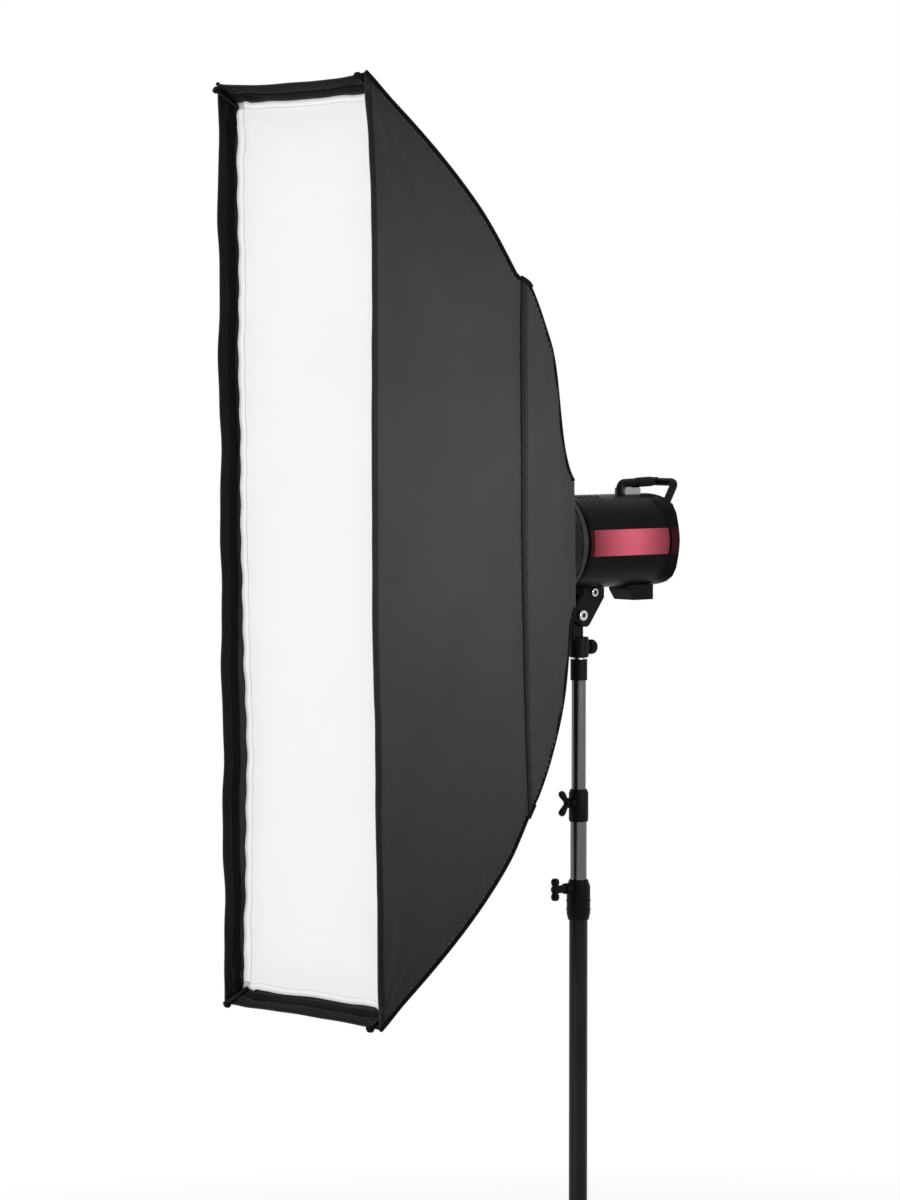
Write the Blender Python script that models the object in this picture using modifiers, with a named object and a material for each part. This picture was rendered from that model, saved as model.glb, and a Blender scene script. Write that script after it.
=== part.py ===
"""A strip softbox on a studio flash head, carried by a folding light stand."""

import math

import bmesh
import bpy
from mathutils import Matrix, Vector

# Sizes in metres. The origin is on the floor under the column, +Z is up, the light faces -Y.
GAP = 0.0004
AXIS_HEIGHT = 1.30

# Flash head, turned about the light axis
BARREL_RADIUS = 0.0632
BARREL_WALL = 0.0065
BARREL_FRONT = -0.045
BARREL_LENGTH = 0.157
CAP_LENGTH = 0.024
CAP_EASE = 0.0080
FLANGE_RIM = 0.003
FLANGE_LENGTH = 0.0222
LIP_STEP = 0.008
LIP_WALL = 0.0075
LIP_LENGTH = 0.0124
BAND_LIFT = 0.0012
BAND_MARGIN = (0.015, 0.004)
BAND_HALF_ANGLE = 16
BARREL_INNER = BARREL_RADIUS - BARREL_WALL
PLUG_RADIUS = BARREL_INNER - GAP
PLUG_LENGTH = 0.009
BARREL_BACK = BARREL_FRONT + BARREL_LENGTH
HEAD_BACK = BARREL_BACK + GAP + CAP_LENGTH
HEAD_BOTTOM = AXIS_HEIGHT - BARREL_RADIUS
FLANGE_RADIUS = BARREL_RADIUS + FLANGE_RIM
LIP_RADIUS = FLANGE_RADIUS - LIP_STEP
FLANGE_FACE = BARREL_FRONT - GAP - FLANGE_LENGTH

# Controls on the rear of the head, as offsets from the light axis
DISPLAY_SIZE = (0.042, 0.016)
DISPLAY_Z = 0.028
BUTTON_RADIUS = 0.0045
BUTTON_PITCH = 0.019
BUTTON_Z = 0.0105
DIAL_RADIUS = 0.0115
DIAL_SHAFT = 0.003
DIAL_Z = -0.012
SWITCH_SIZE = (0.0105, 0.0155)
SENSOR_RADIUS = 0.006
SWITCH_PLAY = 0.0007
LOW_CONTROLS = (0.027, -0.029)

# Lamps in front of the flange and the capacitor inside the barrel
HOLDER_RADIUS = 0.0125
HOLDER_LENGTH = 0.020
BULB_RADIUS = 0.020
FLASH_RADIUS = 0.033
FLASH_TUBE = 0.004
FLASH_REACH = 0.030
CAPACITOR_RADIUS = 0.034
CAPACITOR_SETBACK = 0.055

# Carry handle and mains inlet
HANDLE_HALF = 0.036
HANDLE_RADIUS = 0.0060
HANDLE_RISE = 0.0140
HANDLE_BEND = 0.0085
HANDLE_FRONT = 0.0765
HANDLE_FOOT = (0.040, 0.120)
HANDLE_REACH = 0.0090
SADDLE_HALF = 0.010
SADDLE_LENGTH = 0.0275
SADDLE_RISE = 0.0075
INLET_SPAN = (0.060, 0.120)
INLET_HALF = 0.020
INLET_DROP = 0.0185
INLET_WALL = 0.004
INLET_CAVITY = (0.0125, 0.013)
INLET_DEPTH = 0.016

# Speed ring, turned about the light axis
RING_THICKNESS = 0.018
COLLAR_LENGTH = 0.018
COLLAR_WALL = 0.0056
RING_RIM = 0.006
RING_BACK = FLANGE_FACE - GAP
RING_FRONT = RING_BACK - RING_THICKNESS
RING_COLLAR_BACK = RING_BACK + COLLAR_LENGTH
COLLAR_RADIUS = FLANGE_RADIUS + GAP + COLLAR_WALL
RING_RADIUS = COLLAR_RADIUS + RING_RIM
EAR_HALF = 0.006
EAR_DEPTH = 0.0085
EAR_BEHIND = 0.007
EAR_PAST = 0.0015
SOCKET_SHELL = 0.0027
ROD_SLIP = 0.0006
LOCK_GRIP = 0.0145

# Softbox
BOX_WIDTH = 0.30
BOX_HEIGHT = 1.20
BOX_DEPTH = 0.412
SHELL_ON_RING = 0.006
LIP_Y = RING_FRONT + SHELL_ON_RING - BOX_DEPTH
BELLY_FRONT = (0.749, 1.0366, 0.523)
BELLY_REAR = (0.591, 0.8708, 0.2284)
REAR_WIDEN = (0.0038, 0.0058)
REAR_HALF_WIDTH = RING_RADIUS + REAR_WIDEN[0]
REAR_HALF_HEIGHT = RING_RADIUS + REAR_WIDEN[1]
SOFTBOX_TURN = -0.85
CLOTH = 0.0015
SIDE_SAG = 0.006
END_SAG = 0.003
ROD_RADIUS = 0.0025
ROD_PLAY = 0.0005
ROD_PULL = 0.009
ROD_END = 0.995
STATIONS = [(i / 16) ** 1.4 for i in range(17)]
DIFFUSER_RECESS = 0.0245
DIFFUSER_HALF = 0.0006
FRONT_PLAY = 0.001
BAFFLE_DEPTH = 0.20
BAFFLE_MARGIN = (0.034, 0.082)

# Tilt bracket
TILT_Y = -0.007
TILT_DROP = 0.0358
TILT_Z = HEAD_BOTTOM - TILT_DROP
ARM_Y = 0.017
ARM_SCREW = (0.0155, 0.0055)
ARM_RADIUS = 0.0135
PIVOT_RADIUS = 0.0118
TONGUE_HALF = 0.005
CHEEK = 0.0071
ARM_SADDLE = 0.008
CHEEK_OUTER = TONGUE_HALF + GAP + CHEEK
BOLT_RADIUS = 0.004
TONGUE_RISE = 0.030
SOCKET_TOP = TILT_Z - TONGUE_RISE
SOCKET_HEIGHT = 0.028
SOCKET_BOTTOM = SOCKET_TOP - SOCKET_HEIGHT
SPIGOT_RADIUS = 0.008
SOCKET_ROOF = 0.006
SPIGOT_TOP = SOCKET_TOP - SOCKET_ROOF
SOCKET_WALL = 0.0051
SOCKET_RADIUS = SPIGOT_RADIUS + GAP + SOCKET_WALL
SOCKET_SCREW_RISE = 0.0135
SOCKET_SCREW_Z = SOCKET_BOTTOM + SOCKET_SCREW_RISE
SOCKET_BOSS = 0.0025
SOCKET_GRIP = 0.0105
LEVER_LENGTH = 0.052
LEVER_HEADING = 222

# Column, three tubes one inside the next
WALL = 0.0010
TOP_RADIUS = 0.0098
MIDDLE_RADIUS = TOP_RADIUS + WALL + GAP
LOWER_RADIUS = MIDDLE_RADIUS + WALL + GAP
NECK = 0.0025
SLEEVE_TOP = SOCKET_BOTTOM - NECK
SLEEVE_LENGTH = 0.028
SLEEVE_WALL = 0.0010
SLEEVE_CAP = 0.0161
TOP_SHOWN = 0.1485
MIDDLE_SHOWN = 0.079
LOWER_SEAT = 0.022
UPPER_SEAT = 0.012
CLAMP_RIM = 0.0012
LOWER_TAPERS = (0.0085, 0.0095)
UPPER_TAPERS = (0.004, 0.005)
LOWER_SCREW_DROP = 0.0110
UPPER_SCREW_DROP = 0.0180
LOWER_BOSS = 0.0097
UPPER_BOSS = 0.0040
WING_HUB = 0.0060
WING_REACH = (0.0125, 0.0160)
UPPER_CLAMP_LENGTH = 0.044
LOWER_CLAMP_LENGTH = 0.055
UPPER_CLAMP_WALL = 0.0018
LOWER_CLAMP_WALL = 0.0032
KNOB_BOSS = 0.0075
COLUMN_BOTTOM = 0.070
NEST_STEP = 0.130
TOP_END = SLEEVE_TOP - SLEEVE_CAP
UPPER_CLAMP_TOP = SLEEVE_TOP - SLEEVE_LENGTH - TOP_SHOWN
UPPER_CLAMP = (UPPER_CLAMP_TOP - UPPER_CLAMP_LENGTH, UPPER_CLAMP_TOP)
LOWER_CLAMP_TOP = UPPER_CLAMP[0] - MIDDLE_SHOWN
LOWER_CLAMP = (LOWER_CLAMP_TOP - LOWER_CLAMP_LENGTH, LOWER_CLAMP_TOP)
LOWER_SPAN = (COLUMN_BOTTOM, LOWER_CLAMP[0] + LOWER_SEAT)
MIDDLE_SPAN = (COLUMN_BOTTOM + NEST_STEP, UPPER_CLAMP[0] + UPPER_SEAT)
TOP_SPAN = (COLUMN_BOTTOM + 2 * NEST_STEP, TOP_END)

# Folding legs
LEG_AZIMUTHS = (90, 210, 330)
LEG_PIVOT_OUT = 0.0205
LEG_PIVOT_Z = 0.360
SPREAD = 0.500
LEG_RADIUS = 0.008
BOOT_WALL = 0.0041
BOOT_LENGTH = 0.062
BOOT_SOLE = 0.028
BRACE_PIVOT_OUT = 0.0015
BRACE_PIVOT_Z = 0.100
BRACE_ON_LEG = 0.250
LUG_HALF = 0.004
LUG_RADIUS = 0.0075
BRACE_LUG_RADIUS = 0.006
LEG_COLLAR_WALL = 0.0065
BRACE_COLLAR_WALL = 0.0045
LEG_BOSS = 0.009
FORK_LENGTH = 0.046
FORK_CLEAR = 0.0145
FORK_PLATE = 0.0015
LEG_COLLAR_HALF = 0.024
BRACE_COLLAR_HALF = 0.014
PIN_RADIUS = 0.003
BOOT_RADIUS = LEG_RADIUS + GAP + BOOT_WALL
LEG_COLLAR_RADIUS = LOWER_RADIUS + GAP + LEG_COLLAR_WALL
BRACE_COLLAR_RADIUS = LOWER_RADIUS + GAP + BRACE_COLLAR_WALL
LEG_PIVOT_R = LEG_COLLAR_RADIUS + LEG_PIVOT_OUT
BRACE_PIVOT_R = BRACE_COLLAR_RADIUS + BRACE_LUG_RADIUS + BRACE_PIVOT_OUT

LIGHT_AXIS = Vector((0, 1, 0))
UP = Vector((0, 0, 1))
PIVOTS = {}


def clear_scene():
    for obj in list(bpy.data.objects):
        bpy.data.objects.remove(obj, do_unlink=True)


def collection(name):
    made = bpy.data.collections.new(name)
    bpy.context.scene.collection.children.link(made)
    return made


def material(name, colour, roughness, metallic=0.0):
    made = bpy.data.materials.new(name)
    made.use_nodes = True
    shader = made.node_tree.nodes["Principled BSDF"]
    shader.inputs["Base Color"].default_value = (*colour, 1)
    shader.inputs["Roughness"].default_value = roughness
    shader.inputs["Metallic"].default_value = metallic
    made.diffuse_color = (*colour, 1)
    return made


clear_scene()
PARTS = collection("studio softbox")
CUTTERS = collection("cutters")
CLOTH_GREY = material("grey cloth", (0.05, 0.05, 0.052), 0.85)
CLOTH_WHITE = material("white diffuser cloth", (0.86, 0.86, 0.86), 0.8)
PLASTIC = material("black plastic", (0.015, 0.015, 0.016), 0.45)
RUBBER = material("black rubber", (0.02, 0.02, 0.02), 0.8)
PAINT = material("black painted metal", (0.02, 0.02, 0.021), 0.35, 0.3)
STEEL = material("bright steel", (0.6, 0.6, 0.6), 0.25, 1.0)
RED = material("red label", (0.55, 0.02, 0.06), 0.4)
GLASS = material("lamp glass", (0.8, 0.8, 0.75), 0.1)
SCREEN = material("dark display", (0.01, 0.02, 0.025), 0.1)


# Shape tools


def put(name, data, mat):
    obj = bpy.data.objects.new(name, data)
    data.materials.append(mat)
    PARTS.objects.link(obj)
    return obj


def aimed(at, along):
    """A matrix that takes local +Z to the given direction at the given point."""
    turn = UP.rotation_difference(Vector(along)).to_matrix().to_4x4()
    return Matrix.Translation(Vector(at)) @ turn


def framed(at, first, second):
    """A matrix whose local X and Y follow the two given directions."""
    third = Vector(first).cross(Vector(second))
    turn = Matrix((first, second, third)).transposed().to_4x4()
    return Matrix.Translation(Vector(at)) @ turn


def helper(obj):
    obj.hide_render = True
    obj.display_type = "WIRE"
    PARTS.objects.unlink(obj)
    CUTTERS.objects.link(obj)


def combine(target, tool, operation):
    modifier = target.modifiers.new(operation.title(), "BOOLEAN")
    modifier.operation = operation
    modifier.solver = "EXACT"
    modifier.object = tool
    if not tool.hide_render:
        helper(tool)
    return target


def cut(target, tool):
    return combine(target, tool, "DIFFERENCE")


def fuse(target, tool):
    return combine(target, tool, "UNION")


def turned(name, profile, at, along, mat, steps=20):
    """A solid of revolution. The (radius, height) pairs run down the outer side."""
    mesh = bpy.data.meshes.new(name)
    edges = [(i, i + 1) for i in range(len(profile) - 1)]
    if profile[0][0] > 0:
        edges.append((len(profile) - 1, 0))
    mesh.from_pydata([(r, 0, h) for r, h in profile], edges, [])
    obj = put(name, mesh, mat)
    obj.matrix_world = aimed(at, along)
    screw = obj.modifiers.new("Turn", "SCREW")
    screw.steps = steps
    screw.render_steps = steps
    screw.use_merge_vertices = True
    screw.merge_threshold = 0.00001
    return obj


def rod_between(name, start, end, radius, mat, steps=12):
    length = (Vector(end) - Vector(start)).length
    profile = [(0, length), (radius, length), (radius, 0), (0, 0)]
    return turned(name, profile, start, Vector(end) - Vector(start), mat, steps)


def ring_tube(name, outer, inner, low, high, mat):
    profile = [(outer, high), (outer, low), (inner, low), (inner, high)]
    return turned(name, profile, (0, 0, 0), UP, mat)


def block(name, low, high, mat):
    mesh = bpy.data.meshes.new(name)
    shape = bmesh.new()
    bmesh.ops.create_cube(shape, size=1)
    shape.to_mesh(mesh)
    shape.free()
    obj = put(name, mesh, mat)
    low, high = Vector(low), Vector(high)
    obj.matrix_world = Matrix.LocRotScale((low + high) / 2, None, high - low)
    return obj


def meshed(obj):
    """The same shape as a plain mesh object, so that it can take part in a Boolean."""
    graph = bpy.context.evaluated_depsgraph_get()
    mesh = bpy.data.meshes.new_from_object(obj.evaluated_get(graph))
    shape = bmesh.new()
    shape.from_mesh(mesh)
    bmesh.ops.remove_doubles(shape, verts=shape.verts, dist=0.000001)
    shape.to_mesh(mesh)
    shape.free()
    name, place = obj.name, obj.matrix_world.copy()
    bpy.data.objects.remove(obj, do_unlink=True)
    made = bpy.data.objects.new(name, mesh)
    PARTS.objects.link(made)
    made.matrix_world = place
    return made


def plate(name, points, half, place, mat):
    """A flat outline thickened by half on both sides of its plane."""
    curve = bpy.data.curves.new(name, "CURVE")
    curve.dimensions = "2D"
    curve.fill_mode = "BOTH"
    curve.extrude = half
    line = curve.splines.new("POLY")
    line.points.add(len(points) - 1)
    for point, (x, y) in zip(line.points, points):
        point.co = (x, y, 0, 1)
    line.use_cyclic_u = True
    obj = put(name, curve, mat)
    obj.matrix_world = place
    bpy.context.view_layer.update()
    return meshed(obj)


def tube(name, points, radius, mat, resolution=2):
    curve = bpy.data.curves.new(name, "CURVE")
    curve.dimensions = "3D"
    curve.bevel_depth = radius
    curve.bevel_resolution = resolution
    curve.use_fill_caps = True
    line = curve.splines.new("POLY")
    line.points.add(len(points) - 1)
    for point, spot in zip(line.points, points):
        point.co = (*spot, 1)
    obj = put(name, curve, mat)
    bpy.context.view_layer.update()
    return meshed(obj)


def sheet(name, rows, thickness, mat, flip=False):
    """A grid of points made into cloth that is thickened away from its outer face."""
    count = len(rows[0])
    faces = []
    for i in range(len(rows) - 1):
        for j in range(count - 1):
            a = i * count + j
            face = (a, a + count, a + count + 1, a + 1)
            faces.append(face[::-1] if flip else face)
    mesh = bpy.data.meshes.new(name)
    mesh.from_pydata([point for row in rows for point in row], [], faces)
    obj = put(name, mesh, mat)
    solid = obj.modifiers.new("Cloth", "SOLIDIFY")
    solid.thickness = thickness
    solid.offset = -1
    return obj


def arc(centre, radius, start, end, steps=12):
    spots = []
    for i in range(steps + 1):
        angle = math.radians(start + (end - start) * i / steps)
        spots.append((centre[0] + radius * math.cos(angle), centre[1] + radius * math.sin(angle)))
    return spots


def stadium(first, r_first, second, r_second):
    """The outline round two circles."""
    heading = math.degrees(math.atan2(second[1] - first[1], second[0] - first[0]))
    span = math.dist(first, second)
    lean = math.degrees(math.asin((r_first - r_second) / span))
    ends = arc(second, r_second, heading - 90 + lean, heading + 90 - lean)
    return ends + arc(first, r_first, heading + 90 - lean, heading + 270 + lean)


def rounded(points, radius, steps=5):
    """A path with its inner corners rounded off."""
    path = [Vector(points[0])]
    for before, here, after in zip(points, points[1:], points[2:]):
        here = Vector(here)
        start = here + (Vector(before) - here).normalized() * radius
        end = here + (Vector(after) - here).normalized() * radius
        for i in range(steps + 1):
            t = i / steps
            path.append(start * (1 - t) ** 2 + here * 2 * t * (1 - t) + end * t**2)
    return path + [Vector(points[-1])]


def pivot(name, at, above=None):
    """An empty on a joint's axis. The pieces that move with the joint hang from it."""
    made = bpy.data.objects.new(name, None)
    made.empty_display_size = 0.02
    PARTS.objects.link(made)
    PIVOTS[name] = Vector(at)
    made.location = Vector(at)
    if above:
        made.parent = bpy.data.objects[above]
        made.location = Vector(at) - PIVOTS[above]
    return made


def hang(pivot_name, *objects):
    for obj in objects:
        obj.parent = bpy.data.objects[pivot_name]
        obj.matrix_parent_inverse = Matrix.Translation(-PIVOTS[pivot_name])


# Stand


def t_knob(name, column_point, along, start, boss, reach, bar_half, top):
    """A clamp screw with a hub and a cross bar that has rounded ends."""
    hub, bar_at = boss + 0.0005, boss + reach
    outer = bar_at + 0.003
    stem = [(0, outer), (0.0055, outer), (0.0055, hub), (PIN_RADIUS, hub), (PIN_RADIUS, start), (0, start)]
    obj = turned(name, stem, column_point, along, PLASTIC, 14)
    end = [(0, bar_half), (0.0042, bar_half - 0.001), (0.0058, bar_half - 0.0045)]
    end += [(0.0055, bar_half - 0.008), (0.0040, bar_half - 0.011)]
    bar = end + [(r, -h) for r, h in reversed(end)]
    fuse(obj, turned(name + "_bar", bar, Vector(column_point) + along * bar_at, UP, PLASTIC, 14))
    pivot("turn_" + name, Vector(column_point) + along * bar_at, top)
    hang("turn_" + name, obj)


def wing_knob(name, column_point, along, start, boss, top):
    """A clamp screw with two wings that spread away from the column."""
    hub = boss + 0.0005
    outer = hub + WING_HUB
    stem = [(0, outer), (0.0046, outer), (0.0055, outer - 0.001), (0.0055, hub), (PIN_RADIUS, hub)]
    obj = turned(name, stem + [(PIN_RADIUS, start), (0, start)], column_point, along, PLASTIC, 14)
    root = Vector(column_point) + along * (hub + 0.0030)
    for side in (1, -1):
        tip = along * WING_REACH[0] + UP * side * WING_REACH[1]
        long = tip.length
        wing = [(0, long), (0.0034, long - 0.0007), (0.0050, long - 0.0040), (0.0046, long - 0.0085),
                (0.0030, 0), (0, 0)]
        fuse(obj, turned(f"{name}_wing_{side}", wing, root, tip, PLASTIC, 14))
    pivot("turn_" + name, root, top)
    hang("turn_" + name, obj)


def clamp(name, span, outer, low_bore, step, high_bore, tapers, along, boss, screw_height):
    """A sleeve fixed on the end of one tube that grips the next tube with a screw."""
    low, high = span
    body = [(0, high), (high_bore + CLAMP_RIM, high), (outer, high - tapers[1])]
    body += [(outer, low + tapers[0]), (low_bore + CLAMP_RIM, low), (0, low)]
    obj = turned(name, body, (0, 0, 0), UP, PLASTIC)
    centre = Vector((0, 0, screw_height))
    fuse(obj, rod_between(name + "_boss", centre + along * high_bore / 2, centre + along * boss, KNOB_BOSS,
                          PLASTIC))
    bore = [(0, high + 0.01), (high_bore, high + 0.01), (high_bore, step), (low_bore, step)]
    bore += [(low_bore, low - 0.01), (0, low - 0.01)]
    cut(obj, turned(name + "_bore", bore, (0, 0, 0), UP, PLASTIC))
    first, last = centre + along * (high_bore - 0.002), centre + along * (boss + 0.01)
    cut(obj, rod_between(name + "_hole", first, last, PIN_RADIUS + GAP, PLASTIC))
    return obj


def column():
    ring_tube("lower_tube", LOWER_RADIUS, LOWER_RADIUS - WALL, *LOWER_SPAN, PAINT)
    front = Vector((0, -1, 0))
    outer = LOWER_RADIUS + GAP + LOWER_CLAMP_WALL
    height = LOWER_CLAMP[1] - LOWER_SCREW_DROP
    boss = outer + LOWER_BOSS
    clamp("lower_clamp", LOWER_CLAMP, outer, LOWER_RADIUS + GAP, LOWER_SPAN[1] + GAP,
          MIDDLE_RADIUS + GAP, LOWER_TAPERS, front, boss, height)
    t_knob("lower_clamp_knob", (0, 0, height), front, MIDDLE_RADIUS + GAP, boss, 0.017, 0.0157, None)

    pivot("slide_middle", (0, 0, UPPER_CLAMP[0]))
    middle = ring_tube("middle_tube", MIDDLE_RADIUS, MIDDLE_RADIUS - WALL, *MIDDLE_SPAN, PAINT)
    outer = MIDDLE_RADIUS + GAP + UPPER_CLAMP_WALL
    height = UPPER_CLAMP[1] - UPPER_SCREW_DROP
    boss = outer + UPPER_BOSS
    upper = clamp("upper_clamp", UPPER_CLAMP, outer, MIDDLE_RADIUS + GAP, MIDDLE_SPAN[1] + GAP,
                  TOP_RADIUS + GAP, UPPER_TAPERS, front, boss, height)
    hang("slide_middle", middle, upper)
    wing_knob("upper_clamp_knob", (0, 0, height), front, TOP_RADIUS + GAP, boss, "slide_middle")

    pivot("slide_top", (0, 0, TOP_SPAN[1]), "slide_middle")
    top = ring_tube("top_tube", TOP_RADIUS, TOP_RADIUS - WALL, *TOP_SPAN, PAINT)
    base, seat = SLEEVE_TOP - SLEEVE_LENGTH, TOP_SPAN[1] + GAP
    sleeve = TOP_RADIUS + GAP + SLEEVE_WALL
    shape = [(0, SPIGOT_TOP), (SPIGOT_RADIUS - 0.001, SPIGOT_TOP), (SPIGOT_RADIUS, SPIGOT_TOP - 0.001)]
    shape += [(SPIGOT_RADIUS, SLEEVE_TOP), (sleeve - 0.001, SLEEVE_TOP), (sleeve, SLEEVE_TOP - 0.001),
              (sleeve, base)]
    shape += [(TOP_RADIUS + GAP, base), (TOP_RADIUS + GAP, seat), (0, seat)]
    spigot = turned("spigot", shape, (0, 0, 0), UP, STEEL)
    hang("slide_top", top, spigot)


def leg_frame(azimuth):
    turn = math.radians(azimuth)
    radial = Vector((math.cos(turn), math.sin(turn), 0))
    return radial, radial.cross(UP)


def lug(name, azimuth, inner, reach, height, radius):
    """A drilled ear in the plane of one leg."""
    radial, across = leg_frame(azimuth)
    points = [(inner, height - radius)] + arc((reach, height), radius, -90, 90) + [(inner, height + radius)]
    return plate(name, points, LUG_HALF, framed((0, 0, 0), radial, UP), PLASTIC)


def pin_hole(name, azimuth, reach, height):
    radial, across = leg_frame(azimuth)
    centre = radial * reach + UP * height
    span = across * 5 * LUG_HALF
    return rod_between(name, centre - span, centre + span, PIN_RADIUS + GAP, PLASTIC, 16)


def collars():
    """The fixed collar that carries the braces and the sliding one that carries the legs."""
    bore = LOWER_RADIUS + GAP
    low, high = BRACE_PIVOT_Z - BRACE_COLLAR_HALF, BRACE_PIVOT_Z + BRACE_COLLAR_HALF
    brace_collar = ring_tube("brace_collar", BRACE_COLLAR_RADIUS, bore, low, high, PLASTIC)
    low, high = LEG_PIVOT_Z - LEG_COLLAR_HALF, LEG_PIVOT_Z + LEG_COLLAR_HALF
    body = [(0, high), (LEG_COLLAR_RADIUS, high), (LEG_COLLAR_RADIUS, low), (0, low)]
    leg_collar = turned("leg_collar", body, (0, 0, 0), UP, PLASTIC)
    front = Vector((0, -1, 0))
    centre = Vector((0, 0, LEG_PIVOT_Z))
    boss = LEG_COLLAR_RADIUS + LEG_BOSS
    root = bore + 0.0015
    fuse(leg_collar, rod_between("collar_boss", centre, centre + front * boss, KNOB_BOSS, PLASTIC))
    for azimuth in LEG_AZIMUTHS:
        fuse(leg_collar, lug(f"leg_lug_{azimuth}", azimuth, root, LEG_PIVOT_R, LEG_PIVOT_Z, LUG_RADIUS))
        fuse(brace_collar, lug(f"brace_lug_{azimuth}", azimuth, root, BRACE_PIVOT_R, BRACE_PIVOT_Z,
                               BRACE_LUG_RADIUS))
        cut(leg_collar, pin_hole(f"leg_hole_{azimuth}", azimuth, LEG_PIVOT_R, LEG_PIVOT_Z))
        cut(brace_collar, pin_hole(f"brace_hole_{azimuth}", azimuth, BRACE_PIVOT_R, BRACE_PIVOT_Z))
    cut(leg_collar, rod_between("collar_bore", (0, 0, low - 0.02), (0, 0, high + 0.02), bore, PLASTIC, 24))
    cut(leg_collar, rod_between("collar_hole", centre, centre + front * (boss + 0.01), PIN_RADIUS + GAP,
                                PLASTIC))
    pivot("slide_legs", centre)
    hang("slide_legs", leg_collar)
    t_knob("leg_collar_knob", centre, front, bore, boss, 0.0135, 0.016, "slide_legs")


def leg(number, azimuth):
    """One tubular leg with a fork on its pivot and a rubber boot cut level with the floor."""
    radial, across = leg_frame(azimuth)
    spread = math.atan2(SPREAD - LEG_PIVOT_R, LEG_PIVOT_Z)
    along = radial * math.sin(spread) - UP * math.cos(spread)
    top = radial * LEG_PIVOT_R + UP * LEG_PIVOT_Z
    floor_hit = LEG_PIVOT_Z / math.cos(spread)
    end = floor_hit - BOOT_SOLE
    obj = rod_between(f"leg_{number}", top + along * (LUG_RADIUS + FORK_CLEAR), top + along * end,
                      LEG_RADIUS, PAINT, 16)
    cheek = stadium((0, 0), LUG_RADIUS + 0.0013, (FORK_LENGTH, 0), LEG_RADIUS - 0.0005)
    for side in (-1, 1):
        centre = top + across * side * (LUG_HALF + GAP + FORK_PLATE)
        place = framed(centre, along, across.cross(along))
        fuse(obj, plate(f"cheek_{number}_{side}", cheek, FORK_PLATE, place, PAINT))
    reach = LUG_HALF + GAP + FORK_PLATE + 0.0005
    fuse(obj, rod_between(f"leg_pin_{number}", top - across * reach, top + across * reach, PIN_RADIUS,
                          PAINT, 16))

    bore = LEG_RADIUS + GAP
    shape = [(0, BOOT_SOLE - GAP), (bore, BOOT_SOLE - GAP), (bore, BOOT_LENGTH),
             (BOOT_RADIUS - BOOT_WALL / 2, BOOT_LENGTH)]
    shape += [(BOOT_RADIUS, BOOT_LENGTH - 0.003), (BOOT_RADIUS, 0), (0, 0)]
    boot = turned(f"foot_{number}", shape, top + along * floor_hit, -along, RUBBER, 24)
    spot = radial * SPREAD
    cut(boot, block(f"floor_{number}", spot + Vector((-0.05, -0.05, -0.05)), spot + Vector((0.05, 0.05, 0)),
                    RUBBER))
    pivot(f"hinge_leg_{number}", top, "slide_legs")
    hang(f"hinge_leg_{number}", obj, boot)

    bottom = radial * BRACE_PIVOT_R + UP * BRACE_PIVOT_Z
    brace_along = top + along * BRACE_ON_LEG - bottom
    length = brace_along.length
    brace_along.normalize()
    inner = LEG_RADIUS + 0.0005
    pin = [(0, inner + 0.001), (0.0050, inner + 0.001), (0.0050, LUG_HALF + GAP),
           (PIN_RADIUS, LUG_HALF + GAP)]
    pin += [(r, -h) for r, h in reversed(pin)]
    brace = turned(f"brace_{number}", pin, bottom, across, PAINT, 16)
    strap = stadium((0, 0), BRACE_LUG_RADIUS, (length, 0), BRACE_LUG_RADIUS)
    for side in (-1, 1):
        place = framed(bottom + across * side * (inner + 0.001), brace_along, across.cross(brace_along))
        fuse(brace, plate(f"strap_{number}_{side}", strap, 0.001, place, PAINT))
    pivot(f"hinge_brace_{number}", bottom)
    hang(f"hinge_brace_{number}", brace)


# Tilt bracket


def side_plate(name, points, half, x, mat):
    """An outline in the plane of the light axis and the column."""
    return plate(name, points, half, framed((x, 0, 0), (0, 1, 0), (0, 0, 1)), mat)


def barrel_cutter(name):
    return turned(name, [(0, 0.3), (BARREL_RADIUS + GAP, 0.3), (BARREL_RADIUS + GAP, -0.3), (0, -0.3)],
                  (0, 0, AXIS_HEIGHT), LIGHT_AXIS, PLASTIC, 72)


def cross_pin(name, y, z, first, last, radius, mat, steps=16):
    return rod_between(name, (first, y, z), (last, y, z), radius, mat, steps)


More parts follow.
